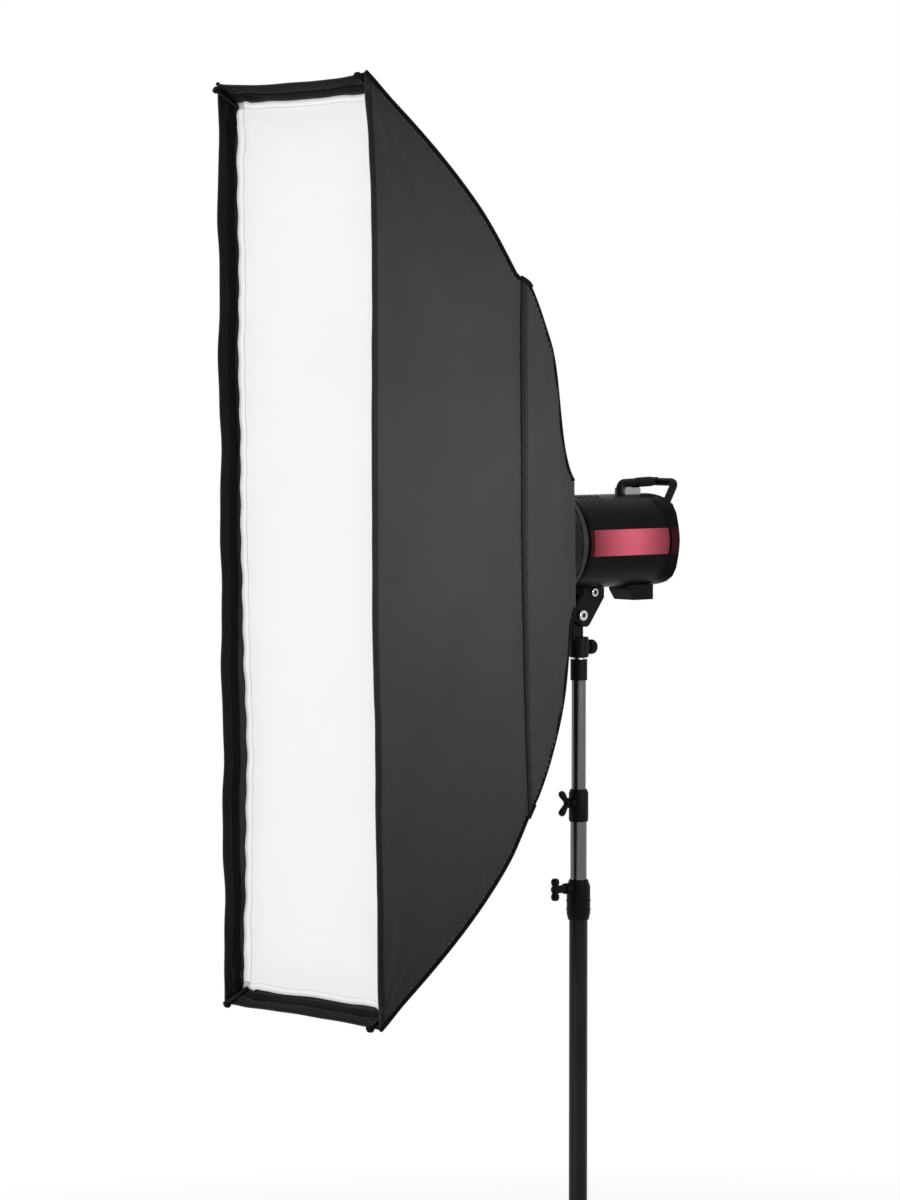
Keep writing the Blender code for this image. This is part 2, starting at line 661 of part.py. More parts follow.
def swivel():
    ease = 0.0015
    body = [(0, SOCKET_TOP), (SOCKET_RADIUS - ease, SOCKET_TOP), (SOCKET_RADIUS, SOCKET_TOP - ease)]
    body += [(SOCKET_RADIUS, SOCKET_BOTTOM + ease), (SOCKET_RADIUS - ease, SOCKET_BOTTOM), (0, SOCKET_BOTTOM)]
    socket = turned("bracket_socket", body, (0, 0, 0), UP, PLASTIC)
    eye = PIVOT_RADIUS - 0.0013
    root = SOCKET_TOP - 0.004
    tongue = [(TILT_Y - eye + 0.003, root), (TILT_Y + eye, root)] + arc((TILT_Y, TILT_Z), eye, 0, 180, 16)
    fuse(socket, side_plate("tongue", tongue, TONGUE_HALF, 0, PLASTIC))
    cut(socket, cross_pin("tongue_hole", TILT_Y, TILT_Z, -0.02, 0.02, BOLT_RADIUS + GAP, PLASTIC))
    back = Vector((0, 1, 0))
    centre = Vector((0, 0, SOCKET_SCREW_Z))
    bore = SPIGOT_RADIUS + GAP
    boss = SOCKET_RADIUS + SOCKET_BOSS
    fuse(socket, rod_between("socket_boss", centre + back * bore / 2, centre + back * boss, KNOB_BOSS,
                             PLASTIC))
    low = SOCKET_BOTTOM - 0.02
    cut(socket, rod_between("spigot_bore", (0, 0, low), (0, 0, SPIGOT_TOP + GAP), bore, PLASTIC, 24))
    stem = PIN_RADIUS - 0.0003
    cut(socket, rod_between("socket_hole", centre, centre + back * (boss + 0.01), stem + GAP, PLASTIC))
    pivot("pan", centre, "slide_top")
    hang("pan", socket)

    near, far = boss + 0.0005, boss + 0.0005 + SOCKET_GRIP
    grip = [(0, far), (0.0085, far), (0.010, far - 0.0015), (0.010, near + 0.0015), (0.0085, near)]
    grip += [(stem, near), (stem, bore), (0, bore)]
    knob = turned("socket_knob", grip, centre, back, PLASTIC, 24)
    pivot("turn_socket_knob", centre + back * (near + far) / 2, "pan")
    hang("turn_socket_knob", knob)


def tilt_arm():
    pivot("tilt", (0, TILT_Y, TILT_Z), "pan")
    inner = TONGUE_HALF + GAP
    half = (CHEEK_OUTER - inner) / 2
    screw_y, screw_z = ARM_SCREW[0], HEAD_BOTTOM - ARM_SCREW[1]
    outline = stadium((TILT_Y, TILT_Z), PIVOT_RADIUS, (ARM_Y, HEAD_BOTTOM - 0.0003), ARM_RADIUS)
    low = (-CHEEK_OUTER, ARM_Y - 0.020, HEAD_BOTTOM - ARM_SADDLE)
    high = (CHEEK_OUTER, ARM_Y + 0.018, HEAD_BOTTOM + 0.011)
    arm = block("tilt_arm", low, high, PLASTIC)
    for side in (-1, 1):
        fuse(arm, side_plate(f"arm_cheek_{side}", outline, half, side * (inner + half), PLASTIC))
    cut(arm, barrel_cutter("arm_barrel"))
    cut(arm, cross_pin("tilt_hole", TILT_Y, TILT_Z, -0.03, 0.03, BOLT_RADIUS + GAP, PLASTIC))
    cut(arm, cross_pin("arm_hole", screw_y, screw_z, 0.0025 - CHEEK_OUTER, 0.03, PIN_RADIUS + GAP, PLASTIC))

    face = CHEEK_OUTER + GAP
    head = [(0, face + 0.005), (0.0066, face + 0.005), (0.0075, face + 0.004), (0.0075, face)]
    bolt = turned("tilt_bolt", head + [(BOLT_RADIUS, face), (BOLT_RADIUS, 0.0005 - CHEEK_OUTER),
                                       (0, 0.0005 - CHEEK_OUTER)],
                  (0, TILT_Y, TILT_Z), (1, 0, 0), STEEL, 24)
    head = [(0, face + 0.0035), (0.0052, face + 0.0035), (0.006, face + 0.0025), (0.006, face)]
    screw = turned("arm_screw", head + [(PIN_RADIUS, face), (PIN_RADIUS, 0.003 - CHEEK_OUTER),
                                        (0, 0.003 - CHEEK_OUTER)],
                   (0, screw_y, screw_z), (1, 0, 0), STEEL, 24)
    hang("tilt", arm, bolt, screw)

    hub = [(0, 0.017), (0.0075, 0.017), (0.009, 0.0155), (0.009, GAP), (0, GAP)]
    lever = turned("tilt_lever", hub, (-CHEEK_OUTER, TILT_Y, TILT_Z), (-1, 0, 0), PLASTIC, 24)
    heading = math.radians(LEVER_HEADING)
    along = Vector((0, math.cos(heading), math.sin(heading)))
    far = LEVER_LENGTH
    grip = [(0, far), (0.0045, far - 0.0015), (0.0065, far - 0.006), (0.0058, far - 0.017), (0.0040, 0.020),
            (0.0040, 0), (0, 0)]
    fuse(lever, turned("lever_grip", grip, (-CHEEK_OUTER - 0.0105, TILT_Y, TILT_Z), along, PLASTIC, 20))
    pivot("turn_tilt_lever", (-CHEEK_OUTER - 0.009, TILT_Y, TILT_Z), "tilt")
    hang("turn_tilt_lever", lever)


# Flash head


def on_axis(name, profile, mat, steps=32):
    """A piece turned about the light axis. Heights in the profile are world Y."""
    return turned(name, profile, (0, 0, AXIS_HEIGHT), LIGHT_AXIS, mat, steps)


def rear_pin(name, x, z, profile, mat, steps=20):
    return turned(name, profile, (x, 0, AXIS_HEIGHT + z), LIGHT_AXIS, mat, steps)


def rear_hole(name, x, z, radius, depth):
    shape = [(0, HEAD_BACK + 0.01), (radius, HEAD_BACK + 0.01), (radius, HEAD_BACK - depth),
             (0, HEAD_BACK - depth)]
    return rear_pin(name, x, z, shape, PLASTIC)


def rear_block(name, x, z, size, front, back, mat):
    low = (x - size[0] / 2, front, AXIS_HEIGHT + z - size[1] / 2)
    high = (x + size[0] / 2, back, AXIS_HEIGHT + z + size[1] / 2)
    return block(name, low, high, mat)


def eased(size, clearance):
    return size[0] + 2 * clearance, size[1] + 2 * clearance


def head_body():
    step = BARREL_FRONT + 0.009
    wall = [(BARREL_RADIUS, BARREL_BACK), (BARREL_RADIUS, step), (BARREL_RADIUS - 0.003, step - 0.002)]
    wall += [(BARREL_RADIUS - 0.003, BARREL_FRONT), (BARREL_INNER, BARREL_FRONT), (BARREL_INNER, BARREL_BACK)]
    housing = on_axis("head_housing", wall, PLASTIC)

    inside, bore = BARREL_FRONT + PLUG_LENGTH, LIP_RADIUS - LIP_WALL
    front = [(0, inside), (PLUG_RADIUS, inside), (PLUG_RADIUS, BARREL_FRONT - GAP),
             (FLANGE_RADIUS, BARREL_FRONT - GAP)]
    front += [(FLANGE_RADIUS, FLANGE_FACE), (LIP_RADIUS, FLANGE_FACE), (LIP_RADIUS, FLANGE_FACE - LIP_LENGTH)]
    front += [(bore, FLANGE_FACE - LIP_LENGTH), (bore, FLANGE_FACE), (0, FLANGE_FACE)]
    flange = on_axis("head_flange", front, PAINT)

    seam, inside = BARREL_BACK + GAP, BARREL_BACK - PLUG_LENGTH
    shape = [(0, HEAD_BACK), (BARREL_RADIUS - CAP_EASE, HEAD_BACK), (BARREL_RADIUS, HEAD_BACK - CAP_EASE)]
    shape += [(BARREL_RADIUS, seam), (PLUG_RADIUS, seam), (PLUG_RADIUS, inside), (0, inside)]
    cap = on_axis("rear_cap", shape, PLASTIC)
    beyond = HEAD_BACK + 0.012
    cut(cap, rear_block("display_recess", 0, DISPLAY_Z, eased(DISPLAY_SIZE, GAP), HEAD_BACK - 0.0015,
                        beyond, PLASTIC))
    cut(cap, rear_block("switch_recess", -LOW_CONTROLS[0], LOW_CONTROLS[1], eased(SWITCH_SIZE, SWITCH_PLAY),
                        HEAD_BACK - 0.0058, beyond, PLASTIC))
    cut(cap, rear_hole("dial_hole", 0, DIAL_Z, DIAL_SHAFT + GAP, 0.0075))
    cut(cap, rear_hole("sensor_hole", *LOW_CONTROLS, SENSOR_RADIUS + GAP, 0.002))
    for i in range(3):
        cut(cap, rear_hole(f"button_hole_{i}", (i - 1) * BUTTON_PITCH, BUTTON_Z, BUTTON_RADIUS + GAP, 0.0048))

    first, last = INLET_SPAN
    top, bottom = HEAD_BOTTOM + 0.010, HEAD_BOTTOM - INLET_DROP
    block_outline = [(first, top), (first, bottom + 0.014), (first + 0.010, bottom), (last, bottom),
                     (last, top)]
    inlet = side_plate("power_inlet", block_outline, INLET_HALF, 0, PLASTIC)
    cut(inlet, barrel_cutter("inlet_barrel"))
    low = (-INLET_CAVITY[0], last - INLET_DEPTH, bottom + INLET_WALL)
    high = (INLET_CAVITY[0], last + 0.01, bottom + INLET_WALL + INLET_CAVITY[1])
    cut(inlet, block("inlet_cavity", low, high, PLASTIC))
    hang("tilt", housing, flange, cap, inlet)


def head_controls():
    surface = HEAD_BACK
    display = rear_block("display_window", 0, DISPLAY_Z, DISPLAY_SIZE, surface - 0.0011, surface + 0.0004,
                         SCREEN)
    sensor = rear_pin("slave_sensor", *LOW_CONTROLS,
                      [(0, surface + 0.005), (SENSOR_RADIUS / 2, surface + 0.0045),
                      (SENSOR_RADIUS - 0.0008, surface + 0.0025), (SENSOR_RADIUS, surface),
                      (SENSOR_RADIUS, surface - 0.0016), (0, surface - 0.0016)], RED)
    hang("tilt", display, sensor)

    grip = [(0, surface + 0.013), (DIAL_RADIUS - 0.002, surface + 0.013),
            (DIAL_RADIUS - 0.0007, surface + 0.012)]
    grip += [(DIAL_RADIUS, surface + GAP), (DIAL_SHAFT, surface + GAP), (DIAL_SHAFT, surface - 0.007),
             (0, surface - 0.007)]
    dial = rear_pin("control_dial", 0, DIAL_Z, grip, PLASTIC, 32)
    pivot("turn_dial", (0, surface, AXIS_HEIGHT + DIAL_Z), "tilt")
    hang("turn_dial", dial)

    for i in range(3):
        x = (i - 1) * BUTTON_PITCH
        key = [(0, surface + 0.0025), (BUTTON_RADIUS - 0.0006, surface + 0.0025),
               (BUTTON_RADIUS, surface + 0.0018)]
        key += [(BUTTON_RADIUS, surface - 0.0025), (0, surface - 0.0025)]
        button = rear_pin(f"button_{i + 1}", x, BUTTON_Z, key, RUBBER, 20)
        pivot(f"press_{i + 1}", (x, surface, AXIS_HEIGHT + BUTTON_Z), "tilt")
        hang(f"press_{i + 1}", button)

    x, z = -LOW_CONTROLS[0], LOW_CONTROLS[1]
    switch = rear_block("power_switch", x, z, SWITCH_SIZE, surface - 0.0035, surface + 0.0018, RED)
    pivot("rock_switch", (x, surface - 0.0025, AXIS_HEIGHT + z), "tilt")
    hang("rock_switch", switch)


def carry_handle():
    """A grip bar over the head, on a front post with a saddle and on an arch at the back."""
    front, back = HANDLE_FRONT, HEAD_BACK + HANDLE_REACH
    top = AXIS_HEIGHT + BARREL_RADIUS
    level, low = top + HANDLE_RISE, top - 0.006
    bar = [(0, front, low), (0, front, level), (0, back, level + 0.002)]
    handle = tube("carry_handle", rounded(bar, HANDLE_BEND), HANDLE_RADIUS, PLASTIC, 3)
    half, (foot_x, foot_y) = HANDLE_HALF, HANDLE_FOOT
    foot = AXIS_HEIGHT + math.sqrt(BARREL_RADIUS**2 - foot_x**2) - 0.006
    arch = [(foot_x, foot_y, foot), (half, back, level + 0.0012)]
    arch += [(-x, y, z) for x, y, z in reversed(arch)]
    fuse(handle, tube("handle_arch", rounded(arch, HANDLE_BEND), HANDLE_RADIUS - 0.0006, PLASTIC, 3))
    fuse(handle, block("handle_saddle", (-SADDLE_HALF, front, low),
                       (SADDLE_HALF, front + SADDLE_LENGTH, top + SADDLE_RISE), PLASTIC))
    cut(handle, barrel_cutter("handle_barrel"))
    hang("tilt", handle)


def side_bands():
    """The coloured label on each side of the barrel."""
    first, last = BARREL_FRONT + BAND_MARGIN[0], BARREL_BACK - BAND_MARGIN[1]
    for side, name in ((1, "side_band_right"), (-1, "side_band_left")):
        rows = []
        for y in (first, (first + last) / 2, last):
            row = []
            for i in range(9):
                angle = math.radians(BAND_HALF_ANGLE * (i / 4 - 1))
                radius = BARREL_RADIUS + BAND_LIFT
                row.append((side * radius * math.cos(angle), y, AXIS_HEIGHT + radius * math.sin(angle)))
            rows.append(row)
        hang("tilt", sheet(name, rows, BAND_LIFT - GAP, RED, side < 0))


def lamps():
    face = FLANGE_FACE - GAP
    stub = face - HOLDER_LENGTH
    holder = on_axis("lamp_holder", [(0, face), (HOLDER_RADIUS, face), (HOLDER_RADIUS, stub), (0, stub)],
                     GLASS, 24)
    base, neck = stub - GAP, HOLDER_RADIUS - 0.002
    bulb = [(0, base), (neck, base), (neck, base - 0.0076), (0.0175, base - 0.0196),
            (BULB_RADIUS, base - 0.0306)]
    bulb += [(0.0185, base - 0.0416), (0.0120, base - 0.0496), (0, base - 0.0526)]
    lamp = on_axis("modelling_lamp", bulb, GLASS, 24)
    path = [(-0.006, face, AXIS_HEIGHT - FLASH_RADIUS + 0.0005)]
    for i in range(29):
        angle = math.radians(-100 - 340 * i / 28)
        path.append((FLASH_RADIUS * math.cos(angle), face - FLASH_REACH,
                     AXIS_HEIGHT + FLASH_RADIUS * math.sin(angle)))
    path.append((0.006, face, AXIS_HEIGHT - FLASH_RADIUS + 0.0005))
    flash = tube("flash_tube", path, FLASH_TUBE, GLASS)
    back, front = BARREL_BACK - PLUG_LENGTH - GAP, BARREL_FRONT + CAPACITOR_SETBACK
    bank = on_axis("capacitor", [(0, back), (CAPACITOR_RADIUS, back), (CAPACITOR_RADIUS, front),
                                 (0, front)], PAINT, 32)
    hang("tilt", holder, lamp, flash, bank)


# Softbox


def corner(t):
    """The shell's corner line, from the lip at 0 to the ring at 1, as (half width, depth, half height)."""
    size = (BOX_WIDTH / 2, BOX_DEPTH, BOX_HEIGHT / 2)
    first = Vector((size[0], 0, size[2]))
    front = Vector([share * length for share, length in zip(BELLY_FRONT, size)])
    rear = Vector([share * length for share, length in zip(BELLY_REAR, size)])
    last = Vector((REAR_HALF_WIDTH, BOX_DEPTH, REAR_HALF_HEIGHT))
    bulge = front * 3 * t * (1 - t) ** 2 + rear * 3 * t**2 * (1 - t)
    return first * (1 - t) ** 3 + bulge + last * t**3


def corner_slope(t):
    return (corner(t + 0.0005) - corner(t - 0.0005)) / 0.001


def inward(t):
    """The unit normal of the end panels, towards the inside, as (depth, height)."""
    slope = corner_slope(t)
    length = math.hypot(slope.y, slope.z)
    return slope.z / length, -slope.y / length


def at_depth(depth):
    """The parameter of the corner line at a given depth."""
    low, high = 0.0, 1.0
    for _ in range(40):
        middle = (low + high) / 2
        if corner(middle).y < depth:
            low = middle
        else:
            high = middle
    return low


def rod_point(t, side, end):
    """The middle of a support rod, just inside the shell's corner line."""
    near_ring = max(0.0, (t - 0.7) / 0.3)
    inset = CLOTH + ROD_RADIUS + ROD_PLAY + ROD_PULL * near_ring**2
    spot, (n_depth, n_height) = corner(t), inward(t)
    x = spot.x - inset
    return Vector((side * x, LIP_Y + spot.y + n_depth * inset,
                   AXIS_HEIGHT + end * (spot.z + n_height * inset)))


def panels():
    across = 8
    spread = [-1 + 2 * j / across for j in range(across + 1)]
    for side, name in ((1, "side_panel_right"), (-1, "side_panel_left")):
        rows = []
        for t in STATIONS:
            spot, slope = corner(t), corner_slope(t)
            steep = math.hypot(1, slope.z / slope.y)
            height = spot.z - (CLOTH + GAP) * steep
            sag = SIDE_SAG * math.sin(math.pi * t)
            rows.append([(side * (spot.x - sag * (1 - s * s)), LIP_Y + spot.y,
                          AXIS_HEIGHT + s * height) for s in spread])
        hang("spin", sheet(name, rows, CLOTH, CLOTH_GREY, side < 0))
    for end, name in ((1, "top_panel"), (-1, "bottom_panel")):
        rows = []
        for t in STATIONS:
            spot, (n_depth, n_height) = corner(t), inward(t)
            row = []
            for s in spread:
                sag = END_SAG * math.sin(math.pi * t) * (1 - s * s)
                row.append((s * spot.x, LIP_Y + spot.y + n_depth * sag,
                            AXIS_HEIGHT + end * (spot.z + n_height * sag)))
            rows.append(row)
        hang("spin", sheet(name, rows, CLOTH, CLOTH_GREY, end > 0))


def mirrored(quarter):
    """A closed outline from the corner that is right of and above the middle."""
    outline = quarter + [(-x, z) for x, z in reversed(quarter)]
    return outline + [(-x, -z) for x, z in outline]


def front_cloths():
    """The recessed white front and the smaller inner baffle that hangs from the rods."""
    rod_room = CLOTH + ROD_RADIUS + ROD_PLAY
    t = at_depth(DIFFUSER_RECESS)
    spot, slope = corner(t), corner_slope(t)
    lean = abs(slope.z / slope.y)
    half_x = spot.x - CLOTH - SIDE_SAG * math.sin(math.pi * t) - FRONT_PLAY
    half_z = spot.z - CLOTH * math.hypot(1, lean) - DIFFUSER_HALF * lean - FRONT_PLAY
    bite = 2 * rod_room + 0.005
    outline = mirrored([(half_x, half_z - bite), (half_x - bite, half_z)])
    place = framed((0, LIP_Y + DIFFUSER_RECESS, AXIS_HEIGHT), (1, 0, 0), (0, 0, 1))
    front = plate("front_diffuser", outline, DIFFUSER_HALF, place, CLOTH_WHITE)

    t = at_depth(BAFFLE_DEPTH)
    spot, slope = corner(t), corner_slope(t)
    rod = Vector((spot.x - rod_room, spot.z - rod_room * math.hypot(1, slope.z / slope.y)))
    heel = Vector((spot.x - BAFFLE_MARGIN[0], spot.z - BAFFLE_MARGIN[1]))
    tab = (rod - heel).normalized()
    beside = Vector((tab.y, -tab.x)) * 0.004
    tip = rod - tab * (ROD_RADIUS + 0.0021)
    outline = mirrored([(heel.x, heel.y - 0.012), tuple(tip + beside), tuple(tip - beside),
                        (heel.x - 0.012, heel.y)])
    place = framed((0, LIP_Y + BAFFLE_DEPTH, AXIS_HEIGHT), (1, 0, 0), (0, 0, 1))
    inner = plate("inner_baffle", outline, 0.0005, place, CLOTH_WHITE)
    hang("spin", front, inner)


def speed_ring():
    inner, collar = LIP_RADIUS + GAP, FLANGE_RADIUS + GAP
    shape = [(COLLAR_RADIUS, RING_COLLAR_BACK), (COLLAR_RADIUS, RING_BACK), (RING_RADIUS, RING_BACK),
             (RING_RADIUS, RING_FRONT)]
    shape += [(inner, RING_FRONT), (inner, RING_BACK), (collar, RING_BACK), (collar, RING_COLLAR_BACK)]
    ring = on_axis("speed_ring", shape, PAINT, 36)
    number, bores = 0, []
    for end in (1, -1):
        for side in (1, -1):
            number += 1
            foot, neck = rod_point(ROD_END, side, end), rod_point(ROD_END * STATIONS[-2], side, end)
            along = (neck - foot).normalized()
            heel = foot - along * EAR_BEHIND
            outward = Vector((heel.x, 0, heel.z - AXIS_HEIGHT))
            reach = outward.length + EAR_PAST
            outward.normalize()
            tangent = Vector((outward.z, 0, -outward.x))
            root = inner + 0.0055
            ear = [(root, -EAR_HALF), (reach, -EAR_HALF), (reach, EAR_HALF), (root, EAR_HALF)]
            place = framed((0, RING_FRONT - 0.0025, AXIS_HEIGHT), outward, tangent)
            arm = plate(f"ear_{number}", ear, EAR_DEPTH, place, PAINT)
            sleeve_radius, bore_radius = ROD_RADIUS + SOCKET_SHELL, ROD_RADIUS + ROD_SLIP
            sleeve = rod_between(f"rod_socket_{number}", foot - along * 0.014, foot + along * 0.018,
                                 sleeve_radius, PAINT, 16)
            bore = rod_between(f"rod_bore_{number}", foot - along * 0.0006, foot + along * 0.04,
                               bore_radius, PAINT, 16)
            hang("spin", arm, sleeve, bore)
            fuse(ring, arm)
            fuse(ring, sleeve)
            bores.append(bore)
            rods_and_pockets(number, side, end)
    for bore in bores:
        cut(ring, bore)
    lock = Vector((-1, 0, 1)).normalized()
    base = Vector((0, (RING_BACK + RING_COLLAR_BACK) / 2, AXIS_HEIGHT))
    near, stem = COLLAR_RADIUS + 0.0005, PIN_RADIUS - 0.0007
    hole = rod_between("lock_hole", base + lock * (collar - 0.005), base + lock * (near + 0.02), stem + GAP,
                       PAINT, 16)
    hang("spin", hole)
    cut(ring, hole)
    far = near + LOCK_GRIP
    grip = [(0, far), (0.0065, far), (0.0078, far - 0.0015), (0.0078, near + 0.002), (0.0065, near)]
    grip += [(stem, near), (stem, collar), (0, collar)]
    knob = turned("ring_lock_knob", grip, base, lock, PLASTIC, 20)
    hang("spin", ring)
    pivot("turn_ring_lock", base + lock * (near + far) / 2, "spin")
    hang("turn_ring_lock", knob)


def rods_and_pockets(number, side, end):
    path = [rod_point(ROD_END * t, side, end) for t in STATIONS]
    ahead = (path[0] - path[1]).normalized()
    tip = path[0] + ahead * 0.0058
    rod = tube(f"rod_{number}", [tip] + path, ROD_RADIUS, STEEL, 1)
    bore = ROD_RADIUS + GAP
    wall = bore + 0.0024
    cup = [(0, 0.0090), (wall - 0.0014, 0.0090), (wall, 0.0076), (wall, 0.0024), (bore, 0.0024),
           (bore, 0.0062), (0, 0.0062)]
    pocket = turned(f"corner_pocket_{number}", cup, path[0], ahead, CLOTH_GREY, 20)
    hang("spin", rod, pocket)


def smooth_faces():
    for obj in PARTS.objects:
        if obj.type == "MESH" and obj.data.polygons:
            obj.data.shade_smooth()
            obj.data.set_sharp_from_angle(angle=math.radians(35))


column()
collars()
for index, direction in enumerate(LEG_AZIMUTHS):
    leg(index + 1, direction)
swivel()
tilt_arm()
head_body()
head_controls()
carry_handle()
side_bands()
lamps()
spin = pivot("spin", (0, RING_BACK, AXIS_HEIGHT), "tilt")
spin.rotation_euler = (0, math.radians(SOFTBOX_TURN), 0)
panels()
front_cloths()
speed_ring()
smooth_faces()
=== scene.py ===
"""Looks for a strip softbox on a flash head and a folding light stand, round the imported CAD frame."""

from math import atan2, cos, exp, hypot, pi, radians, sin, sqrt, tau

import bmesh
import bpy
from mathutils import Matrix, Vector, noise

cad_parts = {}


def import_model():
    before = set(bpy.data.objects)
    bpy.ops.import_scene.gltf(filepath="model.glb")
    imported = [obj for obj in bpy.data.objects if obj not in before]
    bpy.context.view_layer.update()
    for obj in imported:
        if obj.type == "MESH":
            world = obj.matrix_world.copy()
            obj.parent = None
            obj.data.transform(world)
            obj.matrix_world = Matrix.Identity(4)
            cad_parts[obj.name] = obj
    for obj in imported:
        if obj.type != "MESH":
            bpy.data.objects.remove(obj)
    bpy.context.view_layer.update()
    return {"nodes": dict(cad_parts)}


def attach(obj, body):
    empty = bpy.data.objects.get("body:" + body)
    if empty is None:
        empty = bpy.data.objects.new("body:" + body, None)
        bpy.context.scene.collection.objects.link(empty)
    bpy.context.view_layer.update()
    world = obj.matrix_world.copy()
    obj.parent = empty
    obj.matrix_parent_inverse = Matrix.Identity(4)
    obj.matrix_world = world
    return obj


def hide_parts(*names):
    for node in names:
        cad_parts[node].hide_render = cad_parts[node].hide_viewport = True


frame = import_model()

# The shell, in metres and degrees, as in the CAD. A corner point is (half width, depth, half height)
AXIS = 1.3
LIP_Y = -0.492
CORNER_LINE = ((0.15, 0, 0.6), (0.11235, 0.42708, 0.3138), (0.08865, 0.35877, 0.13704),
               (0.082, 0.412, 0.084))
SOFTBOX_TURN = -0.85
SIDE_SAG = 0.006
END_SAG = 0.003
RECESS = 0.0245
BAFFLE_DEPTH = 0.2
BAFFLE_HALF = (0.095, 0.36)
BAFFLE_BOW = 0.006
BAFFLE_PULL = (0.05, 0.012)
STRAP_INSET = 0.006
STRAP_HALF = 0.0035
STRAP_FLAT = 0.2
ROD_RADIUS = 0.0025
ROD_INSET = 0.0045
ROD_GAP = 0.0021
ROD_PULL = 0.009
ROD_END = 0.995
ROD_TIP = 0.0058

# How the sewn cloth stands off the corner line: (depth, outward offset) along the top and the bottom edges
TOP_STANDOFF = ((0, -0.0035), (0.2, -0.0025), (0.279, -0.0055), (0.296, 0.004), (0.34, 0.0018),
                (0.385, -0.006), (0.412, -0.003))
BOTTOM_STANDOFF = ((0, -0.0005), (0.237, 0.0055), (0.293, 0.0015), (0.305, 0.0024), (0.36, 0.0008),
                   (0.412, -0.0025))
STANDOFF_SIDEWAYS = 0.35

# The cloth, its seam, and its lip, which each corner (side, end) draws out in width and in height
CLOTH = 0.0012
SEAM_DEPTH = 0.294
SEAM_LAP = 0.007
REAR_LIFT = 0.0014
LIFT_END = 0.15
LIP_SHIFT = {(1, 1): (0.0005, 0.0035), (-1, 1): (0.0055, 0.008), (1, -1): (0.0065, -0.002),
             (-1, -1): (0.0055, -0.0045)}
LIP_REACH = 0.05
LIP_RACK = 0.0045
RACK_REACH = 0.2
LIP_SAG = {1: 0.0065, -1: 0.0015}

# The swell of the right lip, with its height above the light axis and its reach upwards and inwards
BULGE = 0.0093
BULGE_HEIGHT = 0.4
BULGE_REACH = (0.24, 0.06)

# Waves, folds, gathers and slack in the cloth, and how near a corner or an edge they die out
WAVE_SIZE = 0.0011
WAVE_LENGTH = 0.2
RIPPLE_LENGTH = 0.083
RIPPLE_SHARE = 0.35
WAVE_REACH = 0.05
SIDE_CALM = 0.08
END_CALM = 0.05
END_WAVE = 0.7
FOLD_SIZES = (0.002, 0.0008)
FOLD_REACH = 0.12
FOLD_CALM = 0.03
GATHER_SIZE = 0.0014
GATHER_PITCH = 0.019
GATHER_REACH = 0.022
GATHER_CALM = 0.012
SLACK_SIZES = (0.0022, 0.0007)
SLACK_CALM = 0.05
PUCKER_SIZE = 0.0007
PUCKER_PITCH = 0.021
PUCKER_REACH = 0.012

# Binding on the seam as (first and last depth from the lap's edge, lift, thickness)
BINDING = (-0.0015, 0.0035, 0.0008, 0.002)

# Thread and cord along the edges. A stitch is (pitch, length, radius)
STITCHED = 0.985
SEAM_STITCH_DEPTH = 0.293
SEAM_STITCH_LIFT = 0.0003
HEM_STITCH_DEPTH = 0.0068
HEM_STITCH_LIFT = 0.0009
EDGE_STITCH = (0.0085, 0.0052, 0.0007)
EDGE_STITCH_INSET = 0.0062
EDGE_STITCH_LIFT = 0.0004
EDGE_RISE = (0.012, 0.006)
WHITE_STITCH_SIZE = (0.007, 0.005, 0.0004)
PIPING_RADIUS = 0.0027
PIPING_LIFT = 0.0008
KNOT_RADIUS = 0.003
KNOT_LIFT = 0.0022
KNOT_FLAT = 0.7

# The white front cloth, with its margins to the panels at the sides, at the bottom and at the top
DIFFUSER_MARGINS = (0.0045, 0.0055, 0.0032)
DIFFUSER_TRIM = (0.985, 0.9952)
DIFFUSER_BOW = 0.007
DIFFUSER_DIP = 0.0075
DIFFUSER_SLACK = 0.0012
HEM_LIFT = 0.0007
HEM_CLOTH = 0.0006
SCALLOP_SIZE = 0.0009
SCALLOP_PITCH = 0.047

# A pocket on a rod's tip as (height, half width), and the skirt on the ring as (y, share of roundness, tuck)
POCKET_PROFILE = ((0.0022, 0.0043), (0.0035, 0.0049), (0.0055, 0.0052), (0.0076, 0.0049), (0.0088, 0.0036),
                  (0.0092, 0.0016))
SKIRT_PROFILE = ((-0.0835, 0, 0), (-0.0815, 0.1, 0), (-0.079, 0.32, 0), (-0.0755, 0.66, 0),
                 (-0.0715, 0.92, 0), (-0.069, 1, 0), (-0.0665, 1, 0.0016), (-0.064, 1, 0.0052))
SKIRT_HALF = (0.0795, 0.0808)
SKIRT_CORNER = 0.112
SKIRT_RADIUS = 0.0804
ELASTIC_RADIUS = 0.0758
ELASTIC_Y = -0.0638
ELASTIC_BEAD = 0.0022
LOCK_Y = -0.059

# Flash head, turned about the light axis. Most turned profiles start and end at the hub's radius
HUB = 0.0003
BARREL_RADIUS = 0.0632
BARREL_INNER = 0.0567
BARREL_FRONT = -0.045
BARREL_BACK = 0.112
GROOVES = (0.1075, -0.032)
GROOVE_DEPTH = 0.0007
NECK_STEP = 0.003
HEAD_BACK = 0.1364
CAP_SQUARE = 0.1
CAP_FACE = (0.045, 0.055)
CAP_FLARE = 0.006
INLET_FRONT = 0.072
INLET_TRIM = 0.014
PIN_HALF = (0.001, 0.002)
PIN_SPAN = (0.104, 0.1165)
INLET_PINS = ((-0.006, 1.2272), (0.006, 1.2272), (0, 1.2304))
HANDLE_LEVEL = 1.3772
HANDLE_SPAN = (0.0765, 0.1454)
HANDLE_CLIMB = 0.002
GRIP_SPAN = (0.107, 0.134)
GRIP_RADIUS = 0.0067
SADDLE = (0.01, 0.0761, 0.104, 1.3707)
SADDLE_SKIN = 0.0006
BAND_HALF_ANGLE = 16
BAND_MIDDLE = 0.042
